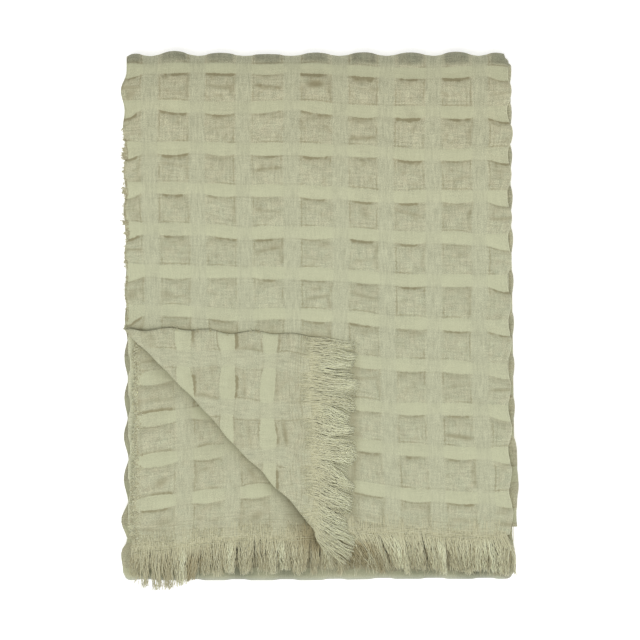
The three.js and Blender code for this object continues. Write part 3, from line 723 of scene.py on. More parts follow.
# Fineness of one block of the cloth, across its width and along its length
def fineness(side, i, j):
    if not (0 <= i < len(across_spans) and 0 <= j < len(along_spans)):
        return PLAIN, PLAIN
    if side == "back":
        shown = j == LOWER_SPAN and i in (0, TOP_LEFT_SPAN)
        return (FINE, FINE) if shown else (PLAIN, PLAIN)
    if i >= TOP_RIGHT_SPAN:
        if j in (NEAR_PART_SPAN, NEAR_TURN_SPAN):
            return FINE, MEDIUM
        return (FINE, FINE) if j >= FAR_TURN_SPAN else (PLAIN, PLAIN)
    if i == RIGHT_TURN_SPAN and j >= UPPER_SPAN:
        return PLAIN, FINE
    if i in (LEFT_TURN_SPAN, RIGHT_TURN_SPAN) and j in RUN_SPANS:
        return PLAIN, MEDIUM
    return PLAIN, PLAIN


def is_turn(spans, k):
    return spans[k][PLAIN] is spans[k][FINE]


# Stations on one edge of a plain block follow its neighbour, and at the cloth's rim its other side
def edge_stations(side, i, j, di, dj):
    direction = 1 if di else 0
    span = along_spans[j] if di else across_spans[i]
    inside = 0 <= i + di < len(across_spans) and 0 <= j + dj < len(along_spans)
    if inside:
        return span[fineness(side, i + di, j + dj)[direction]]
    least = MEDIUM if di and j in (SECOND_SPAN, THIRD_SPAN) else PLAIN
    return span[max(fineness("face", i, j)[direction], fineness("back", i, j)[direction], least)]


# One side of the cloth: its flat places, and its faces with the block that each belongs to
def side_blocks(side):
    places, faces, owners = [], [], []
    count = 0
    for j in range(len(along_spans)):
        for i in range(len(across_spans)):
            fine_u, fine_v = fineness(side, i, j)
            gridded = fine_u or fine_v or is_turn(across_spans, i) or is_turn(along_spans, j)
            if gridded:
                us, vs = across_spans[i][fine_u], along_spans[j][fine_v]
                block = np.stack(np.meshgrid(us, vs), axis=-1).reshape(-1, 2)
                corner = (np.arange(len(vs) - 1)[:, None] * len(us) + np.arange(len(us) - 1)).ravel()
                made = np.stack([corner, corner + 1, corner + len(us) + 1, corner + len(us)], axis=1)
            else:
                south = [(u, along_spans[j][0][0]) for u in edge_stations(side, i, j, 0, -1)]
                east = [(across_spans[i][0][-1], v) for v in edge_stations(side, i, j, 1, 0)]
                north = [(u, along_spans[j][0][-1]) for u in edge_stations(side, i, j, 0, 1)[::-1]]
                west = [(across_spans[i][0][0], v) for v in edge_stations(side, i, j, -1, 0)[::-1]]
                rim = [place for edge in (south, east, north, west) for place in edge[:-1]]
                hub = (np.mean(across_spans[i][0][[0, -1]]), np.mean(along_spans[j][0][[0, -1]]))
                block = np.array([hub, *rim])
                ring = np.arange(1, len(block))
                made = np.stack([0 * ring, ring, np.roll(ring, -1), 0 * ring - 1], axis=1)
            places.append(block)
            faces.append(np.where(made >= 0, made + count, -1))
            owners.append(np.full(len(made), j * len(across_spans) + i))
            count += len(block)
    places, faces, owners = (np.concatenate(parts) for parts in (places, faces, owners))
    whole = np.round(places * 1e4).astype(np.int64)
    keys = whole[:, 0] * 10**9 + whole[:, 1]
    unique, first, merged = np.unique(keys, return_index=True, return_inverse=True)
    faces = np.where(faces >= 0, merged[faces], -1)
    return unique, places[first], faces, owners


def face_edges(faces):
    corners = [faces[:, 0], faces[:, 1], faces[:, 2]]
    quad = faces[:, 3] >= 0
    starts = np.concatenate([*corners, faces[quad, 3]])
    third_next = np.where(quad, faces[:, 3], faces[:, 0])
    ends = np.concatenate([faces[:, 1], faces[:, 2], third_next, faces[quad, 0]])
    return starts, ends


# Edges that belong to one face only, which is the rim of the cloth
def rim_edges(faces, count):
    starts, ends = face_edges(faces)
    alone = ~np.isin(starts * count + ends, ends * count + starts)
    return starts[alone], ends[alone]


# Rectangles in rows inside the unit square, for a piece's own map
def packed_rectangles(sizes, gap=0.004):
    order = np.argsort([-h for _, h in sizes])
    scale = 1 / max(max(w, h) for w, h in sizes)
    while True:
        x = y = tall = 0.0
        found = [None] * len(sizes)
        for k in order:
            w, h = sizes[k][0] * scale, sizes[k][1] * scale
            if x + w + gap > 1:
                x, y, tall = 0.0, y + tall, 0.0
            found[k] = (x + gap / 2, y + gap / 2, w, h)
            x, tall = x + w + gap, max(tall, h + gap)
        if y + tall <= 1 and all(r[0] + r[2] <= 1 for r in found):
            return found
        scale *= 0.97


def add_object(name, data):
    made = bpy.data.objects.new(name, data)
    bpy.context.scene.collection.objects.link(made)
    return made


def add_mesh(name, points, faces, smooth_faces, bake_map, attributes):
    mesh = bpy.data.meshes.new(name)
    lengths = (faces >= 0).sum(axis=1)
    placed = (points + ROW_ORIGIN) * MM
    placed[:, 2] = np.maximum(placed[:, 2], 0)
    mesh.from_pydata(placed.tolist(), [], [f[:n] for f, n in zip(faces.tolist(), lengths)])
    mesh.polygons.foreach_set("use_smooth", smooth_faces)
    layer = mesh.uv_layers.new(name="OFBake")
    layer.data.foreach_set("uv", bake_map.reshape(-1, 2)[faces.ravel() >= 0].astype(np.float32).ravel())
    for key, values in attributes.items():
        kind, field = ("FLOAT", "value") if values.ndim == 1 else ("FLOAT_VECTOR", "vector")
        mesh.attributes.new(key, kind, "POINT").data.foreach_set(field, values.astype(np.float32).ravel())
    mesh.update()
    return add_object(name, mesh)


# Corners of rectangles in a map, from the lower left
def map_corners(left, base, wide, tall):
    left, base = np.broadcast_arrays(left, base)
    corners = ((0, 0), (1, 0), (1, 1), (0, 1))
    return np.stack([np.stack([left + a * wide, base + b * tall], -1) for a, b in corners], axis=-2)


# The whole cloth: its two sides, joined round the rim
def cloth_piece():
    sides = []
    for side, swell_of, half in (("face", face_swell, 0.5), ("back", back_swell, -0.5)):
        keys, places, faces, owners = side_blocks(side)
        u, v = places.T
        swell, shade, dim, stroke = swell_of(u, v)
        taper = between((SELVAGE_TAPER, 1), smooth(np.minimum(u, WIDTH - u), 0, 4))
        points = cloth_point(u, v, half * CLOTH_THICKNESS * taper + swell)
        wu, wv = weave_place(u, v)
        weave = np.stack([wu * MM, wv * MM, np.full_like(u, side == "back")], axis=1)
        sides.append((keys, places, faces, owners, points, weave, shade, dim, stroke))
    (keys, places, faces, owners, *_), (back_keys, back_places, back_faces, back_owners, *_) = sides
    count = len(places)
    quads = back_faces[:, 3] >= 0

    def turned_over(corners, is_quad):
        return np.where(is_quad, corners[:, [0, 3, 2, 1]], corners[:, [0, 2, 1, 3]])

    turned = turned_over(back_faces, quads[:, None])
    turned = np.where(turned >= 0, turned + count, -1)
    starts, ends = rim_edges(faces, count)
    partner = np.searchsorted(back_keys, keys)
    rim = np.stack([ends, starts, partner[starts] + count, partner[ends] + count], axis=1)

    boxes = np.array([
        (us[0][0], np.ptp(us[0]), vs[0][0], np.ptp(vs[0])) for vs in along_spans for us in across_spans
    ])
    sizes = []
    for side in ("face", "back"):
        for k, (_, width, _, length) in enumerate(boxes):
            j, i = divmod(k, len(across_spans))
            share = 1.0 if max(fineness(side, i, j)) == FINE else COARSE_MAP
            sizes.append((max(width * share, 3), max(length * share, 3)))
    rectangles = np.array(packed_rectangles([*sizes, (RIM_MAP, RIM_MAP)]))

    def block_map(which, flat, block_faces, block_owners):
        box = boxes[block_owners, None]
        place = rectangles[which * len(boxes) + block_owners, None]
        inside = (flat[block_faces] - box[..., 0::2]) / box[..., 1::2]
        return place[..., :2] + place[..., 2:] * inside

    rx, ry, rw, rh = rectangles[-1]
    rim_rows = math.ceil(len(rim) / RIM_COLUMNS)
    index = np.arange(len(rim))
    dx, dy = rw / RIM_COLUMNS, rh / rim_rows
    left, base = rx + index % RIM_COLUMNS * dx, ry + index // RIM_COLUMNS * dy
    bake_map = np.concatenate([
        block_map(0, places, faces, owners),
        turned_over(block_map(1, back_places, back_faces, back_owners), quads[:, None, None]),
        map_corners(left + 0.7 * dx, base, -0.7 * dx, 0.7 * dy),
    ])
    all_faces = np.concatenate([faces, turned, rim])
    points, *values = (np.concatenate(pair) for pair in list(zip(*sides))[4:])
    smooth_faces = np.arange(len(all_faces)) < len(all_faces) - len(rim)
    attributes = dict(zip(("weave", "shade", "dim", "stroke"), values))
    return add_mesh("cloth_folds", points, all_faces, smooth_faces, bake_map, attributes)


# Round yarns along rows of points, with a place of its own for each in the map
def yarn_piece(name, paths, radii, tones):
    count, length, _ = paths.shape
    along = np.gradient(paths, axis=1)
    along /= np.linalg.norm(along, axis=2, keepdims=True) + 1e-9
    aside = np.cross(along, [0.05, 0.03, 1.0])
    aside /= np.linalg.norm(aside, axis=2, keepdims=True) + 1e-9
    above = np.cross(aside, along)
    angles = 2 * math.pi * (np.arange(YARN_SIDES) + 0.5) / YARN_SIDES
    ring = aside[:, :, None] * np.cos(angles)[:, None] + above[:, :, None] * np.sin(angles)[:, None]
    points = paths[:, :, None] + ring * radii[:, :, None, None]
    index = np.arange(count * length * YARN_SIDES).reshape(count, length, YARN_SIDES)
    near, far = index[:, :-1], index[:, 1:]
    walls = np.stack([near, np.roll(near, -1, axis=2), np.roll(far, -1, axis=2), far], axis=-1)
    caps = np.stack([index[:, 0, ::-1], index[:, -1]], axis=1).reshape(-1, YARN_SIDES)
    caps = np.concatenate([caps, np.full((len(caps), 4 - YARN_SIDES), -1)], axis=1)
    faces = np.concatenate([walls.reshape(-1, 4), caps])

    columns = math.ceil(math.sqrt(count))
    cell = 1 / columns
    k = np.arange(count)
    x0, y0 = (k % columns)[:, None, None] * cell, (k // columns)[:, None, None] * cell
    wide, tall, side = 0.72 * cell / YARN_SIDES, 0.92 * cell / (length - 1), 0.16 * cell
    wall_base = y0 + np.arange(length - 1)[:, None] * tall
    wall_map = map_corners(x0 + np.arange(YARN_SIDES) * wide, wall_base, wide, tall)
    cap_map = map_corners(x0 + 0.78 * cell, y0 + np.array([0.0, 0.4]) * cell, side, side)
    bake_map = np.concatenate([part.reshape(-1, 4, 2) for part in (wall_map, cap_map)])
    per_point = np.broadcast_to(tones[:, :, None], (count, length, YARN_SIDES)).ravel()
    smooth_faces = np.ones(len(faces), bool)
    return add_mesh(name, points.reshape(-1, 3), faces, smooth_faces, bake_map, {"tone": per_point})


# Loose yarns of one woven end: fine ones that fill it, or strands that lie over those in the same clumps
def fringe_yarns(edge, outward, stretches, seed, kind=YARN):
    dice = np.random.default_rng(seed)
    roots = []
    for start, end, per_mm in stretches:
        count = int((end - start) * per_mm)
        roots.append(start + (np.arange(count) + dice.uniform(0.1, 0.9, count)) / per_mm)
    root = np.concatenate(roots)[:, None]

    def from_warp():
        return off_warp(weave_place(root, np.full_like(root, edge))[0])

    if kind is STRAND:
        kept = 0.55 + 0.45 * smooth(from_warp(), WARP_HALF + 2, WARP_HALF - 2)
        root = root[dice.random(root.shape) < kept][:, None]
    on_warp = smooth(from_warp(), WARP_HALF + 2, WARP_HALF - 2)
    core = smooth(from_warp(), 4.0, 1.5)
    own = dice.random((len(root), 8)).T[:, :, None]
    drift = root / CLUMP_PITCH + 0.35 * np.sin(root / 13)
    clump = np.floor(drift)
    traits = np.moveaxis(CLUMP_CHANCE[clump.astype(int) % len(CLUMP_CHANCE)], -1, 0)
    to_middle = (0.5 - (drift - clump)) * CLUMP_PITCH
    woven_end = np.full_like(root, edge)
    past = flat_past(root, woven_end)
    top = on_top(root, woven_end)
    flap, lying = top & (past > 0), top & (past <= 0)
    fixed = cloth_point(root, woven_end, np.zeros_like(root))
    fixed_x, fixed_y = fixed[..., 0], fixed[..., 1]
    on_show = outward > 0

    # Lengths, and the place of each yarn on the cloth's own surface
    tuft = root / FLAP_TUFT_PITCH + 0.3 * np.sin(root / 17)
    off_tuft = np.where(flap, tuft - np.floor(tuft) - 0.5, 0)
    parted = CLUMP_CHANCE[np.round(tuft).astype(int) % len(CLUMP_CHANCE), 1]
    parted = parted * smooth(np.abs(off_tuft), 0.3, 0.5)
    long_share = 0.6 * traits[0] + 0.4 * own[0]
    longer = between(CORNER_YARNS_LONGER, smooth(root, 4, 9)) * smooth(root, 52, 38) * on_show
    length = between(YARN_LENGTH, long_share) * np.where(lying, LYING_YARNS_LONGER, 1) * (1 + longer)
    leaning = sum(lean * fading(past, reach) for lean, reach in zip(FLAP_YARN_LEAN, FLAP_YARN_LEAN_REACH))
    leaning = np.where(flap, leaning, 0)
    in_line = np.clip((FLAP_YARNS_END_X - fixed_x) / np.cos(leaning), *FLAP_YARN_LENGTH)
    in_line = in_line + FLAP_TIP_LONGER * fading(past, 7)
    in_line = in_line * between((0.87, 1.05), long_share) * (1 - 0.1 * on_warp - 0.15 * parted)
    length = np.where(flap, in_line, length)
    t = np.linspace(0, 1, kind.points)
    pull = between((0.1, 0.5), traits[1]) * np.where(flap, 0.6, np.where(top, 1, 1.7))
    sway = (7 * (traits[2] - 0.5) + kind.sway * (own[1] - 0.5)) * (1 - 0.7 * core * lying)
    turns = between((2.0, 3.6), 0.6 * traits[4] + 0.4 * own[3])
    phase = traits[3] + kind.own_phase * own[4]
    u = root + to_middle * pull * t**2.6 + sway * t**2 - 0.22 * FLAP_TUFT_PITCH * off_tuft * t**3
    wave = between((0.3, 0.9), own[2]) * np.sin(2 * math.pi * (turns * t + phase)) * np.minimum(2 * t, 1)
    inside = between(YARN_ROOT, own[5] ** kind.root_power) * np.where(flap, 0.75, 1)
    v = edge + outward * ((length + inside) * t - inside)
    t = np.clip((v - edge) * outward / length, 0, 1)
    u = u + wave - YARN_LEAN * fading(-past, YARN_LEAN_REACH) * lying * t

    # In space: over or under the cloth at the root, then splayed, leaning and drooping
    layer = between(kind.layer, own[6]) * np.where(flap, kind.pressed, 1)
    on_cloth = (CLOTH_THICKNESS / 2 + 0.15) * (1 - t) ** 4
    paths = cloth_point(u, v, np.where(lying, 1.0, -1.0) * (on_cloth + layer * np.sqrt(t)))
    to_right = RIGHT_YARNS_SPLAY * smooth(root - TOP_LAYER, RIGHT_SPLAY_REACH, 0) * lying
    paths[..., 0] += to_right * t**0.7
    turn = leaning * smooth(t, 0, 0.3)
    dx, dy = paths[..., 0] - fixed_x, paths[..., 1] - fixed_y
    paths[..., 0] = fixed_x + dx * np.cos(turn) + dy * np.sin(turn)
    paths[..., 1] = fixed_y - dx * np.sin(turn) + dy * np.cos(turn)
    flap_rest = TOP_LEVEL + FLAP_YARN_REST[0] + FLAP_YARN_REST[1] * own[7]
    lower_rest = THIRD_STRIP_TOP + LOWER_YARN_REST[0] + LOWER_YARN_REST[1] * own[7]
    rest = np.where(flap, flap_rest, lower_rest) + kind.lifted
    drooping = np.where(flap, 0.9 * t**0.8, YARN_DROOP * t**1.4) * (1 if on_show else 0.15)
    drooping = drooping * (top | (root < UNDER_SHOWN_WIDTH))
    paths[..., 2] += (rest - paths[..., 2]) * drooping
    radii = between(kind.radius, own[1]) * np.where(flap, 0.85, 1) * (1 - 0.35 * t**3)

    # Tones: painted lighter on the turned-back corner and its tips, which lie on top, and painted shade beside
    # the crease, where tufts part and in the gap
    body = np.where(flap, kind.lit_flap_tone, kind.tone + kind.core_tone * core)
    varied = kind.varied * np.where(flap, 0.4, np.where(lying, 0.8, 1.35))
    tones = body + np.where(lying, 0.22, -0.04 + 0.1 * core)
    tones = tones + varied * (own[0] - 0.5) + 0.2 * (traits[3] - 0.5)
    tones = tones + (np.where(flap, 0.22, 0) - 0.55 * parted) * smooth(t, 0.45, 0.95)
    tones = between((np.where(flap, FLAP_ROOT_TONE, ROOT_TONE), tones), smooth(t, 0.0, 0.5))
    filling = own[6] < 0.85
    beside = past_crease(fixed_x, fixed_y) - CREASE_RADIUS
    left_hollow = np.where(top, 0, CREASE_HOLLOW * fading(beside, 8)) * on_show
    right_hollow = RIGHT_HOLLOW * smooth(past, -40, -20) * (lying & filling)
    in_gap = DARK_GAP[2] * bell(root, *DARK_GAP[:2]) * filling * on_show
    tones = np.clip(tones, 0, 1) - left_hollow * (1 - 0.9 * smooth(t, 0.12, 0.5))
    tones = tones - right_hollow * smooth(t, 0.2, 0.5) - in_gap * smooth(t, 0.15, 0.6)
    return paths, radii, np.clip(tones, -1, 1)


def thread_radii(dice, paths):
    return np.broadcast_to(dice.uniform(*THREAD_RADIUS, len(paths))[:, None], paths.shape[:2])


# Loose weft that slips out of the woven end and lies across the yarns' roots
def loose_weft(stretches, seed):
    dice = np.random.default_rng(seed)
    paths = []
    t = np.linspace(0, 1, YARN.points)
    for start, end, up in stretches:
        for place in WEFT_PLACES:
            u = start + dice.uniform(0, 12)
            while u < end - 20:
                span = dice.uniform(14, 34)
                wave = 0.35 * np.sin(2 * math.pi * (dice.uniform(1, 2.2) * t + dice.random()))
                v = LENGTH + place + wave + dice.uniform(-0.6, 0.6) + dice.uniform(-1, 1) * t
                across = u + span * t
                if np.all(flat_past(across, v) < -4):
                    rise = CLOTH_THICKNESS / 2 + 0.35 + 0.3 * np.sin(9 * t + u)
                    paths.append(cloth_point(across, v, up * rise))
                u += span * dice.uniform(0.6, 1.5)
    paths = np.array(paths)
    radii = thread_radii(dice, paths)
    # Painted shade on the loose weft that lies in the hollow beside the crease
    past = past_crease(paths[:, :, 0], paths[:, :, 1])
    in_hollow = 1.6 * fading(past - CREASE_RADIUS, 8) * (past > 0)
    return paths, radii, np.clip(dice.uniform(0.45, 0.85, (len(paths), 1)) - in_hollow, -1, 1)


# Small loops of weft that stand out along the selvages that show
def selvage_loops(seed):
    dice = np.random.default_rng(seed)
    rows = []
    for edge, outward, start, end, per_mm, inside in (
        (0.0, -1, LENGTH - SHOWN_LENGTH, LENGTH - 1, 4.5, 8.0),
        (WIDTH, 1, TOP_STRIP + 50, LENGTH - 2, 0.8, 1.6),
    ):
        for v in dice.uniform(start, end, int((end - start) * per_mm)):
            lying = edge == 0 or flat_past(np.array([edge]), np.array([v]))[0] <= 0
            if lying or dice.random() < 0.12:
                rows.append((edge, outward, v, dice.uniform(0.8, inside) if edge == 0 else inside))
    for place, size in TUFTS:
        for v in dice.normal(TOP_STRIP + place, size / 4, int(5 * size)):
            rows.append((WIDTH, 1, v, dice.uniform(0.5, 2.5)))
    t = np.linspace(0, 1, YARN.points)
    paths = []
    for edge, outward, v, inside in rows:
        reach, half = dice.uniform(1.0, 3.4), dice.uniform(0.5, 1.5)
        if edge > 0 and any(abs(v - TOP_STRIP - place) < size / 2 for place, size in TUFTS):
            reach = dice.uniform(2.0, 5.0)
        u = edge + outward * (reach * arch(t) - inside)
        along = v + half * (2 * t - 1) + dice.uniform(-0.8, 0.8) * arch(t)
        lift = dice.uniform(0.0, 0.8) * arch(t)
        side = np.where((edge > 0) & (flat_past(np.full_like(t, edge), along) <= 0), 1.0, -1.0)
        place = cloth_point(u, along, side * (CLOTH_THICKNESS / 2 + 0.1))
        place[:, 2] += lift
        paths.append(place)
    paths = np.array(paths)
    radii = thread_radii(dice, paths)
    tufts = np.array([row[0] > 0 for row in rows])
    tones = np.where(tufts, dice.uniform(0.0, 0.6, len(rows)), dice.uniform(0.25, 0.95, len(rows)))
    return paths, radii, np.repeat(tones[:, None], YARN.points, axis=1)


def set_inputs(node, values):
    for name, value in values.items():
        node.inputs[name].default_value = value


# A value in a material's nodes, so that sums can be written as sums
class Value:
    __array_ufunc__ = None

    def __init__(self, shader, socket):
        self.shader, self.socket = shader, socket

    def __add__(self, other):
        return self.shader.math("ADD", self, other)

    def __sub__(self, other):
        return self.shader.math("SUBTRACT", self, other)

    def __rsub__(self, other):
        return self.shader.math("SUBTRACT", other, self)

    def __mul__(self, other):
        return self.shader.math("MULTIPLY", self, other)

    def __truediv__(self, other):
        return self.shader.math("DIVIDE", self, other)

    def __abs__(self):
        return self.shader.math("ABSOLUTE", self)


class Shader:
    def __init__(self, name):
        self.material = bpy.data.materials.new(name)
        self.material.use_nodes = True
        self.tree = self.material.node_tree
        self.surface = self.tree.nodes["Principled BSDF"]
        set_inputs(self.surface, SOFT_SURFACE)

    def put(self, socket, value):
        if isinstance(value, Value):
            self.tree.links.new(value.socket, socket)
        else:
            socket.default_value = value

    def node(self, kind, output, inputs=(), **settings):
        made = self.tree.nodes.new(kind)
        for key, value in settings.items():
            setattr(made, key, value)
        for key, value in dict(inputs).items():
            self.put(made.inputs[key], value)
        return Value(self, made.outputs[output])

    def attribute(self, name, output="Fac"):
        return self.node("ShaderNodeAttribute", output, attribute_name=name)

    def parts(self, name):
        whole = self.attribute(name, "Vector")
        return [self.node("ShaderNodeSeparateXYZ", axis, {"Vector": whole}) for axis in "XYZ"]

    def math(self, operation, a, b=0.0):
        return self.node("ShaderNodeMath", 0, {0: a, 1: b}, operation=operation)

    def larger(self, a, b):
        return self.math("MAXIMUM", a, b)

    def smaller(self, a, b):
        return self.math("MINIMUM", a, b)

    def range(self, value, low, high, to_low=0.0, to_high=1.0):
        inputs = {"Value": value, "From Min": low, "From Max": high, "To Min": to_low, "To Max": to_high}
        return self.node("ShaderNodeMapRange", "Result", inputs, interpolation_type="SMOOTHSTEP")

    def vector(self, x, y):
        return self.node("ShaderNodeCombineXYZ", 0, {"X": x, "Y": y})

    def noise(self, vector, scale=1.0, detail=2.0, rough=0.5):
        inputs = {"Vector": vector, "Scale": scale, "Detail": detail, "Roughness": rough}
        return self.node("ShaderNodeTexNoise", "Fac", inputs)

    def mix(self, share, a, b, blend="MIX"):
        made = self.tree.nodes.new("ShaderNodeMix")
        made.data_type, made.blend_type = "RGBA", blend
        for key, value in (("Factor_Float", share), ("A_Color", a), ("B_Color", b)):
            self.put(next(s for s in made.inputs if s.identifier == key), value)
        return Value(self, next(s for s in made.outputs if s.identifier == "Result_Color"))

    def tinted(self, colour, *levels):
        tint = self.node("ShaderNodeCombineColor", 0, dict(zip(("Red", "Green", "Blue"), levels)))
        return self.mix(1.0, colour, tint, "MULTIPLY")

    def finish(self, colour, height, strength, distance):
        self.put(self.surface.inputs["Base Color"], colour)
        inputs = {"Height": height, "Strength": strength, "Distance": distance}
        self.put(self.surface.inputs["Normal"], self.node("ShaderNodeBump", "Normal", inputs))
        return self.material


SOFT_SURFACE = {"Roughness": 0.92, "Specular IOR Level": 0.2, "Sheen Weight": 0.08, "Sheen Roughness": 0.6}
CELL_COLOUR = (0.472, 0.485, 0.334, 1)
CELL_BROWN = (0.514, 0.499, 0.343, 1)
WARP_COLOUR = (0.489, 0.495, 0.343, 1)
WEFT_COLOUR = (0.540, 0.550, 0.370, 1)
SHADE_COLOUR = (0.240, 0.208, 0.108, 1)
YARN_DARK = (0.452, 0.404, 0.242, 1)
YARN_LIGHT = (0.800, 0.808, 0.585, 1)
WARM_TINT = (0.993, 0.971, 0.952)
# Tint of the painted bluish reflection on the near fold's rim
REFLECTION_TINT = (0.97, 1.0, 1.2)
DIM_TINT = (0.51, 0.49, 0.49)
YARN_FINE, YARN_LONG = 560.0, 80.0
GRAIN_SCALE = 1250.0
CLOTH_BUMP = (0.5, 0.0006)
YARN_BUMP = (0.4, 0.0004)


def cloth_material():
    s = Shader("waffle_cloth")
    u, v, back = s.parts("weave")
    flat = s.vector(u, v)
    ragged = s.noise(flat, 420.0) * 0.0018 - 0.0009

    def signed_off(distance, first, pitch):
        part = s.math("FRACT", (distance - first * MM) / (pitch * MM) + 0.5)
        return (part - 0.5) * (pitch * MM)

    # Where the bands of warp and weft are
    to_end = LENGTH * MM - v
    aside = signed_off(u, WARP_FIRST, WARP_PITCH)
    above = signed_off(to_end, WEFT_FIRST, WEFT_PITCH)
    pillow = s.math("COSINE", aside * (2 * math.pi / (WARP_PITCH * MM))) * (back * (0.7 * MM) + 0.4 * MM)
    flap = back * s.math("GREATER_THAN", u, TOP_LAYER * MM)
    off_warp = ragged * 1.6 + abs(aside)
    off_weft = flap * (-0.9 * MM) + abs(above) + (ragged + pillow)
    away = s.range(to_end, (PLAIN_END - 8) * MM, (PLAIN_END + 8) * MM)
    warp = s.range(off_warp, (WARP_HALF + 1.4) * MM, (WARP_HALF - 1.2) * MM) * (away * 0.65 + 0.35)
    edge = warp * (1.6 * MM) + 0.5 * MM
    weft = s.range(off_weft, edge + WEFT_HALF * MM, WEFT_HALF * MM - edge)
    on_tip = s.range(to_end, 0.122, 0.134) * flap
    weft = weft * (away - on_tip * 0.85)

    warm = s.range(to_end, 0.20, 0.42)
    browner = (s.noise(flat, 130.0, 4.0, 0.7) - 0.5) * 2.4 + 0.35
    colour = s.mix(browner + back * 0.2 + warm * 0.4, CELL_COLOUR, CELL_BROWN)
    colour = s.mix(warp * (back * -0.4 + 0.9), colour, WARP_COLOUR)
    over = weft * (warp * (back * -0.25 - 0.5) + 1.0) * s.range(s.noise(flat, 26.0), 0.3, 0.6, 0.6, 1.1)
    colour = s.mix(over, colour, WEFT_COLOUR)

    # Streaks of single yarns and the grain of the cloth
    warp_yarn = s.noise(s.vector(u * YARN_FINE, v * YARN_LONG), rough=0.6) - 0.5
    weft_yarn = s.noise(s.vector(u * YARN_LONG, v * YARN_FINE), rough=0.6) - 0.5
    grain = s.noise(flat, GRAIN_SCALE, rough=0.8)
    lengthways = over * (1.0 - warp) * -0.2 + 1.0
    crossways = (warp * -0.6 + 1.0) * (over * -0.4 + 1.0)
    streaks = warp_yarn * lengthways + weft_yarn * crossways
    rough = (grain - 0.5) * 1.4 + streaks * (warp * 0.2 + 0.42)
    rough = (s.noise(flat, 300.0, rough=0.6) - 0.5) * 0.12 + rough
    rougher = (over * -0.75 + (warp * -0.3 + 1.4)) * (warm * 0.2 + 0.8)
    bright = rough * rougher + 1.0 + (s.noise(flat, 45.0, 3.0) - 0.5) * 0.14
    colour = s.tinted(colour, bright, bright, bright)

    # Lines inside the bands' edges, ribs at the woven end and random brown blotches
    patchy = s.range(s.noise(flat, 38.0, 1.0), 0.42, 0.60)

    def inset_lines(by_warp, by_weft):
        found = []
        for off_edge, inset in ((off_warp, WARP_HALF + by_warp), (off_weft, WEFT_HALF + by_weft)):
            rising = s.range(off_edge, (inset - 0.9) * MM, inset * MM)
            found.append(rising * s.range(off_edge, (inset + 1.3) * MM, inset * MM) * patchy)
        return s.larger(*found)

    lines = inset_lines(1.6, 1.0) + inset_lines(4.6, 4.2) * 0.45
    ribs = s.math("SINE", (to_end + ragged) * (2 * math.pi / (END_RIB_PITCH * MM)))
    loose = s.range(s.noise(s.vector(u * 50.0, v * 160.0)), 0.4, 0.6) * s.range(to_end, 0.026, 0.014)
    lines = s.larger(lines, s.range(ribs, 0.0, 0.9, 0.0, 0.8) * loose)
    patches = s.range(s.noise(flat, 115.0, 3.0, 0.6), 0.5, 0.74, 0.0, 0.42) * (warm * 0.4 + 0.6)
    shade = s.larger(s.attribute("shade") + patches, lines * 0.5)

    # Torn strokes of painted shade at the cells' edges, then broad painted shade over all, and a painted
    # bluish reflection where it runs below zero
    strength, depth, broad_shade = s.parts("stroke")
    under = (off_weft - WEFT_HALF * MM) * (1 / MM)
    torn = s.noise(flat, 260.0, 3.0, 0.7) - 0.5
    thin = s.range(torn * 2.6 + under, 3.9, 0.7)
    sharp = s.range((torn * 6.0 + under) / s.larger(depth, 1.0), 1.0, back * -0.3)
    broken = s.range(s.noise(s.vector(u * 110.0, v * 60.0)), 0.35, 0.62, 0.4, 1.25)
    is_drawn = s.math("LESS_THAN", above * strength, 0.0)
    drawn = s.larger(thin, sharp * 0.72) * broken * (abs(strength) * is_drawn) * (1.0 - on_tip)
    open_cell = (weft * -0.95 + 1.0) * (warp * -0.65 + 1.0)
    shade = s.larger(shade, drawn) * open_cell * (grain * 1.2 + 0.3)
    colour = s.mix(s.smaller(shade, 0.75), colour, SHADE_COLOUR)
    colour = s.mix(warm, colour, s.tinted(colour, *WARM_TINT))
    dusk = broad_shade * (grain * 0.8 + 0.6)
    colour = s.mix(s.larger(dusk, 0.0), colour, SHADE_COLOUR)
    # Where the broad shade runs below zero it becomes a painted bluish reflection
    colour = s.mix(s.smaller(s.larger(dusk * -1.0, 0.0), 1.0), colour, s.tinted(colour, *REFLECTION_TINT))
    # Dim darkens with painted shade, and below zero lightens with painted highlights on fold rims
    dim = s.attribute("dim")
    colour = s.tinted(colour, *(dim * -share + 1.0 for share in DIM_TINT))
    return s.finish(colour, streaks * 0.6 + grain * 0.5, *CLOTH_BUMP)


def yarn_material():
    s = Shader("fringe_yarn")
    fuzz = s.noise(s.node("ShaderNodeTexCoord", "Object"), 700.0)
    tone = s.attribute("tone")
    colour = s.mix((fuzz - 0.5) * 0.5 + tone, YARN_DARK, YARN_LIGHT)
    # Tones below zero mix in painted shade
    colour = s.mix(s.range(tone, 0.0, -1.0, 0.0, 0.85), colour, SHADE_COLOUR)
    return s.finish(colour, fuzz, *YARN_BUMP)


def dress(piece, material, slot, *nodes):
    piece.data.materials.append(material)
    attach(piece, "root")
    if nodes:
        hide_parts(*nodes)
    return piece


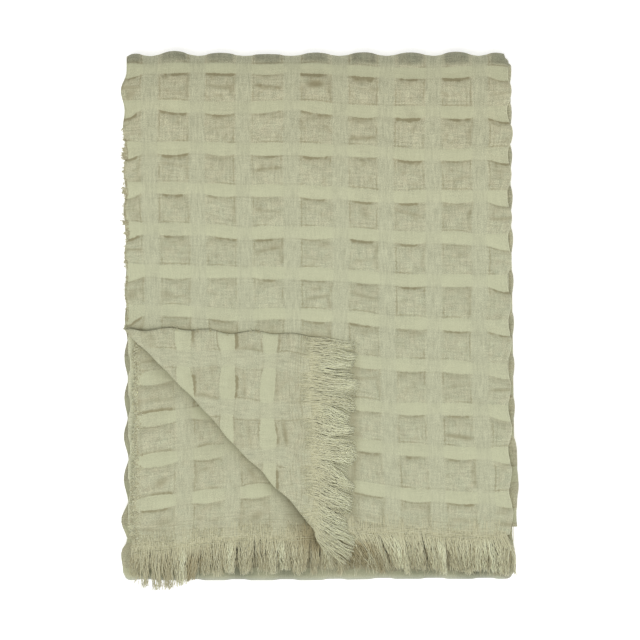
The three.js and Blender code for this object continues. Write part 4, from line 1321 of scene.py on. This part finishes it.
cloth_look = cloth_material()
yarn_look = yarn_material()
cloth = dress(cloth_piece(), cloth_look, "waffle_cloth", "cloth")
shown = [
    (0, UNDER_SHOWN_WIDTH, YARNS_PER_MM),
    (UNDER_SHOWN_WIDTH, TOP_LAYER, HIDDEN_YARNS_PER_MM),
    (TOP_LAYER, WIDTH, YARNS_PER_MM),
]
fringe = fringe_yarns(LENGTH, 1, shown, 31)
over_fringe = [(0, UNDER_SHOWN_WIDTH, STRANDS_PER_MM), (TOP_LAYER, WIDTH, STRANDS_PER_MM)]
top_strands = yarn_piece("top_end_strands", *fringe_yarns(LENGTH, 1, over_fringe, 35, STRAND))
crossing = loose_weft([(1.0, UNDER_SHOWN_WIDTH, -1.0), (TOP_LAYER + 2, WIDTH - 1, 1.0)], 34)
top_yarns = yarn_piece("top_end_yarns", *(np.concatenate(pair) for pair in zip(fringe, crossing)))
hidden = [(0, RIGHT_TURN - 14, HIDDEN_YARNS_PER_MM), (TOP_LAYER + 16, WIDTH, HIDDEN_YARNS_PER_MM)]
under_yarns = yarn_piece("under_end_yarns", *fringe_yarns(0, -1, hidden, 32))
loops = yarn_piece("selvage_loops", *selvage_loops(33))
dress(top_yarns, yarn_look, "fringe_yarn", "fringe_top_end")
dress(top_strands, yarn_look, "fringe_yarn", "fringe_top_end")
dress(under_yarns, yarn_look, "fringe_yarn", "fringe_under_end")
dress(loops, yarn_look, "fringe_yarn")


# Stage: a pale floor, light from all round and a soft sun from the fringed side
FLOOR_SIDE = 14.0
FLOOR_LOOK = {
    "Base Color": (0.93, 0.93, 0.93, 1),
    "Roughness": 1.0,
    "Specular IOR Level": 0.0,
    "Emission Color": (1, 1, 1, 1),
    "Emission Strength": 0.42,
}
ROOM_LIGHT = {"Color": (1, 1, 1, 1), "Strength": 0.70}
SUN_STRENGTH = 1.03
SUN_SOFTNESS = math.radians(30)
SUN_TILT = (math.radians(24), 0, math.radians(-12))
CAMERA_LENS = 250.0
CAMERA_REACH = 50.0
PICTURE_PIXELS = 640
PIXEL = 0.86 * MM

floor_mesh = bpy.data.meshes.new("floor")
half = FLOOR_SIDE / 2
corners = ((-half, -half, 0), (half, -half, 0), (half, half, 0), (-half, half, 0))
floor_mesh.from_pydata(corners, [], [(0, 1, 2, 3)])
floor = add_object("floor", floor_mesh)
floor_look = bpy.data.materials.new("pale_floor")
floor_look.use_nodes = True
set_inputs(floor_look.node_tree.nodes["Principled BSDF"], FLOOR_LOOK)
floor_mesh.materials.append(floor_look)

scene = bpy.context.scene
scene.world = bpy.data.worlds.new("soft_room")
scene.world.use_nodes = True
set_inputs(scene.world.node_tree.nodes["Background"], ROOM_LIGHT)
sun_data = bpy.data.lights.new("soft_sun", "SUN")
sun_data.energy = SUN_STRENGTH
sun_data.angle = SUN_SOFTNESS
add_object("soft_sun", sun_data).rotation_euler = SUN_TILT
scene.view_settings.view_transform = "Standard"

# Camera straight above, with the folded length upright in the picture
camera_data = bpy.data.cameras.new("camera")
camera_data.lens = CAMERA_LENS
camera_data.clip_end = CAMERA_REACH
camera = add_object("camera", camera_data)
top_height = (TOP_LEVEL + ROW_ORIGIN[2]) * MM
distance = PICTURE_PIXELS * PIXEL * CAMERA_LENS / camera_data.sensor_width
camera.location = (ROW_ORIGIN[0] * MM, ROW_ORIGIN[1] * MM, top_height + distance)
scene.camera = camera

bpy.context.view_layer.update()
